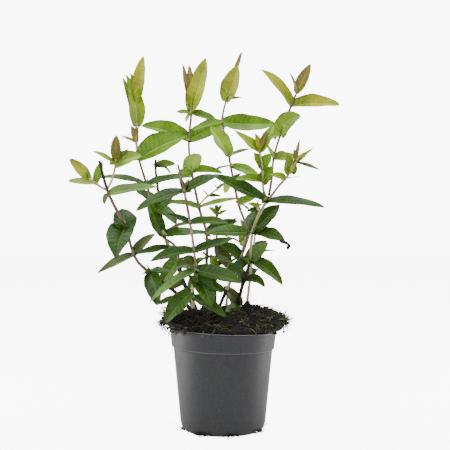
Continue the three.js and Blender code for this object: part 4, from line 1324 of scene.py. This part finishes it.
# The way of each leaflet of a pair from its leaf, and its rise
LEAFLET_WAYS = [(0, 62), (180, 78)]
chance = random.Random(77)
for stem in STEMS:
    for height, *leaves in stem["pairs"]:
        for values in leaves:
            if height < LEAFLET_FIRST_JOINT or values[3] < LEAFLET_LEAST:
                continue
            if chance.random() > LEAFLET_SHARE:
                continue
            kind = chance.choice(("lime", "young", "bright"))
            length = chance.uniform(*LEAFLET_LENGTH)
            for way, rise in LEAFLET_WAYS:
                heading = values[0] + way + chance.uniform(-LEAFLET_SWAY, LEAFLET_SWAY)
                leaflet = [heading, rise, LEAFLET_DROOP, length, length * LEAFLET_BREADTH, 0, kind]
                add_leaf(stem, height, leaflet, chance, LEAFLET_ABOVE, LEAFLET_STATIONS)

# All leaves of a kind are one piece
for kind, (taper, tones) in LEAF_KINDS.items():
    vein = [(1 - VEIN_TINT) * blade + VEIN_TINT * rib for blade, rib in zip(tones[BLADE], tones[RIB])]
    finishes = []
    for (surface, roughness), tone in zip(SURFACES, [*tones, vein]):
        finishes.append(leaf_finish(f"leaf_{kind}{surface}", tone, roughness))
    leaf_forms[kind].make(f"leaves_{kind}", finishes, sorted(leaf_nodes[kind]), "foliage")

# Floor and light
# A plain white studio: the floor and the air beyond it look almost white to the
# camera, wide soft lamps stand at both sides and overhead, and a weaker one in front.
FLOOR_SIZE = 8.0
FLOOR_DROP = 0.0002
FLOOR_GLOW = 7.5
AIR_GLOW = 9.0
AIR_LIGHT = 0.55
# Each lamp's name, place, width, and power in watts, and the point that all of them face
LAMPS = [
    ("lamp_left", (-1.3, 0.25, 0.75), 1.2, 12),
    ("lamp_right", (1.3, 0.25, 0.75), 1.2, 12),
    ("lamp_low_left", (-0.9, 0.15, 0.05), 0.4, 7),
    ("lamp_low_right", (0.9, 0.2, 0.05), 0.4, 5),
    ("lamp_top", (0.0, -0.1, 1.7), 1.4, 30),
    ("lamp_front", (-0.5, -1.7, 1.3), 1.0, 10),
]
LAMP_AIM = Vector((0, 0, 0.28))

half = FLOOR_SIZE / 2
floor_mesh = bpy.data.meshes.new("floor")
floor_corners = [(x * half, y * half, -FLOOR_DROP) for x, y in ((-1, -1), (1, -1), (1, 1), (-1, 1))]
floor_mesh.from_pydata(floor_corners, [], [(0, 1, 2, 3)])
add_object("floor", floor_mesh)
white = Finish("floor_white", roughness=0.9)
white.color(paint(244, 244, 244))
seen = white.node("LightPath", {}, {}, "Is Camera Ray")
white.feed(white.shader.inputs["Emission Color"], white.blend(seen, grey(0.0), grey(1.0)))
white.shader.inputs["Emission Strength"].default_value = FLOOR_GLOW
floor_mesh.materials.append(white.material)

world = bpy.data.worlds.new("studio")
world.use_nodes = True
bpy.context.scene.world = world
air = world.node_tree.nodes["Background"]
ray = world.node_tree.nodes.new("ShaderNodeLightPath")
strength = Value(ray.outputs["Is Camera Ray"]) * (AIR_GLOW - AIR_LIGHT) + AIR_LIGHT
world.node_tree.links.new(strength.socket, air.inputs["Strength"])
air.inputs["Color"].default_value = (1.0, 1.0, 1.0, 1.0)

for name, spot, width, power in LAMPS:
    lamp_data = bpy.data.lights.new(name, "AREA")
    lamp_data.shape = "SQUARE"
    lamp_data.size = width
    lamp_data.energy = power
    lamp = add_object(name, lamp_data)
    lamp.location = spot
    lamp.rotation_euler = (LAMP_AIM - Vector(spot)).to_track_quat("-Z", "Y").to_euler()
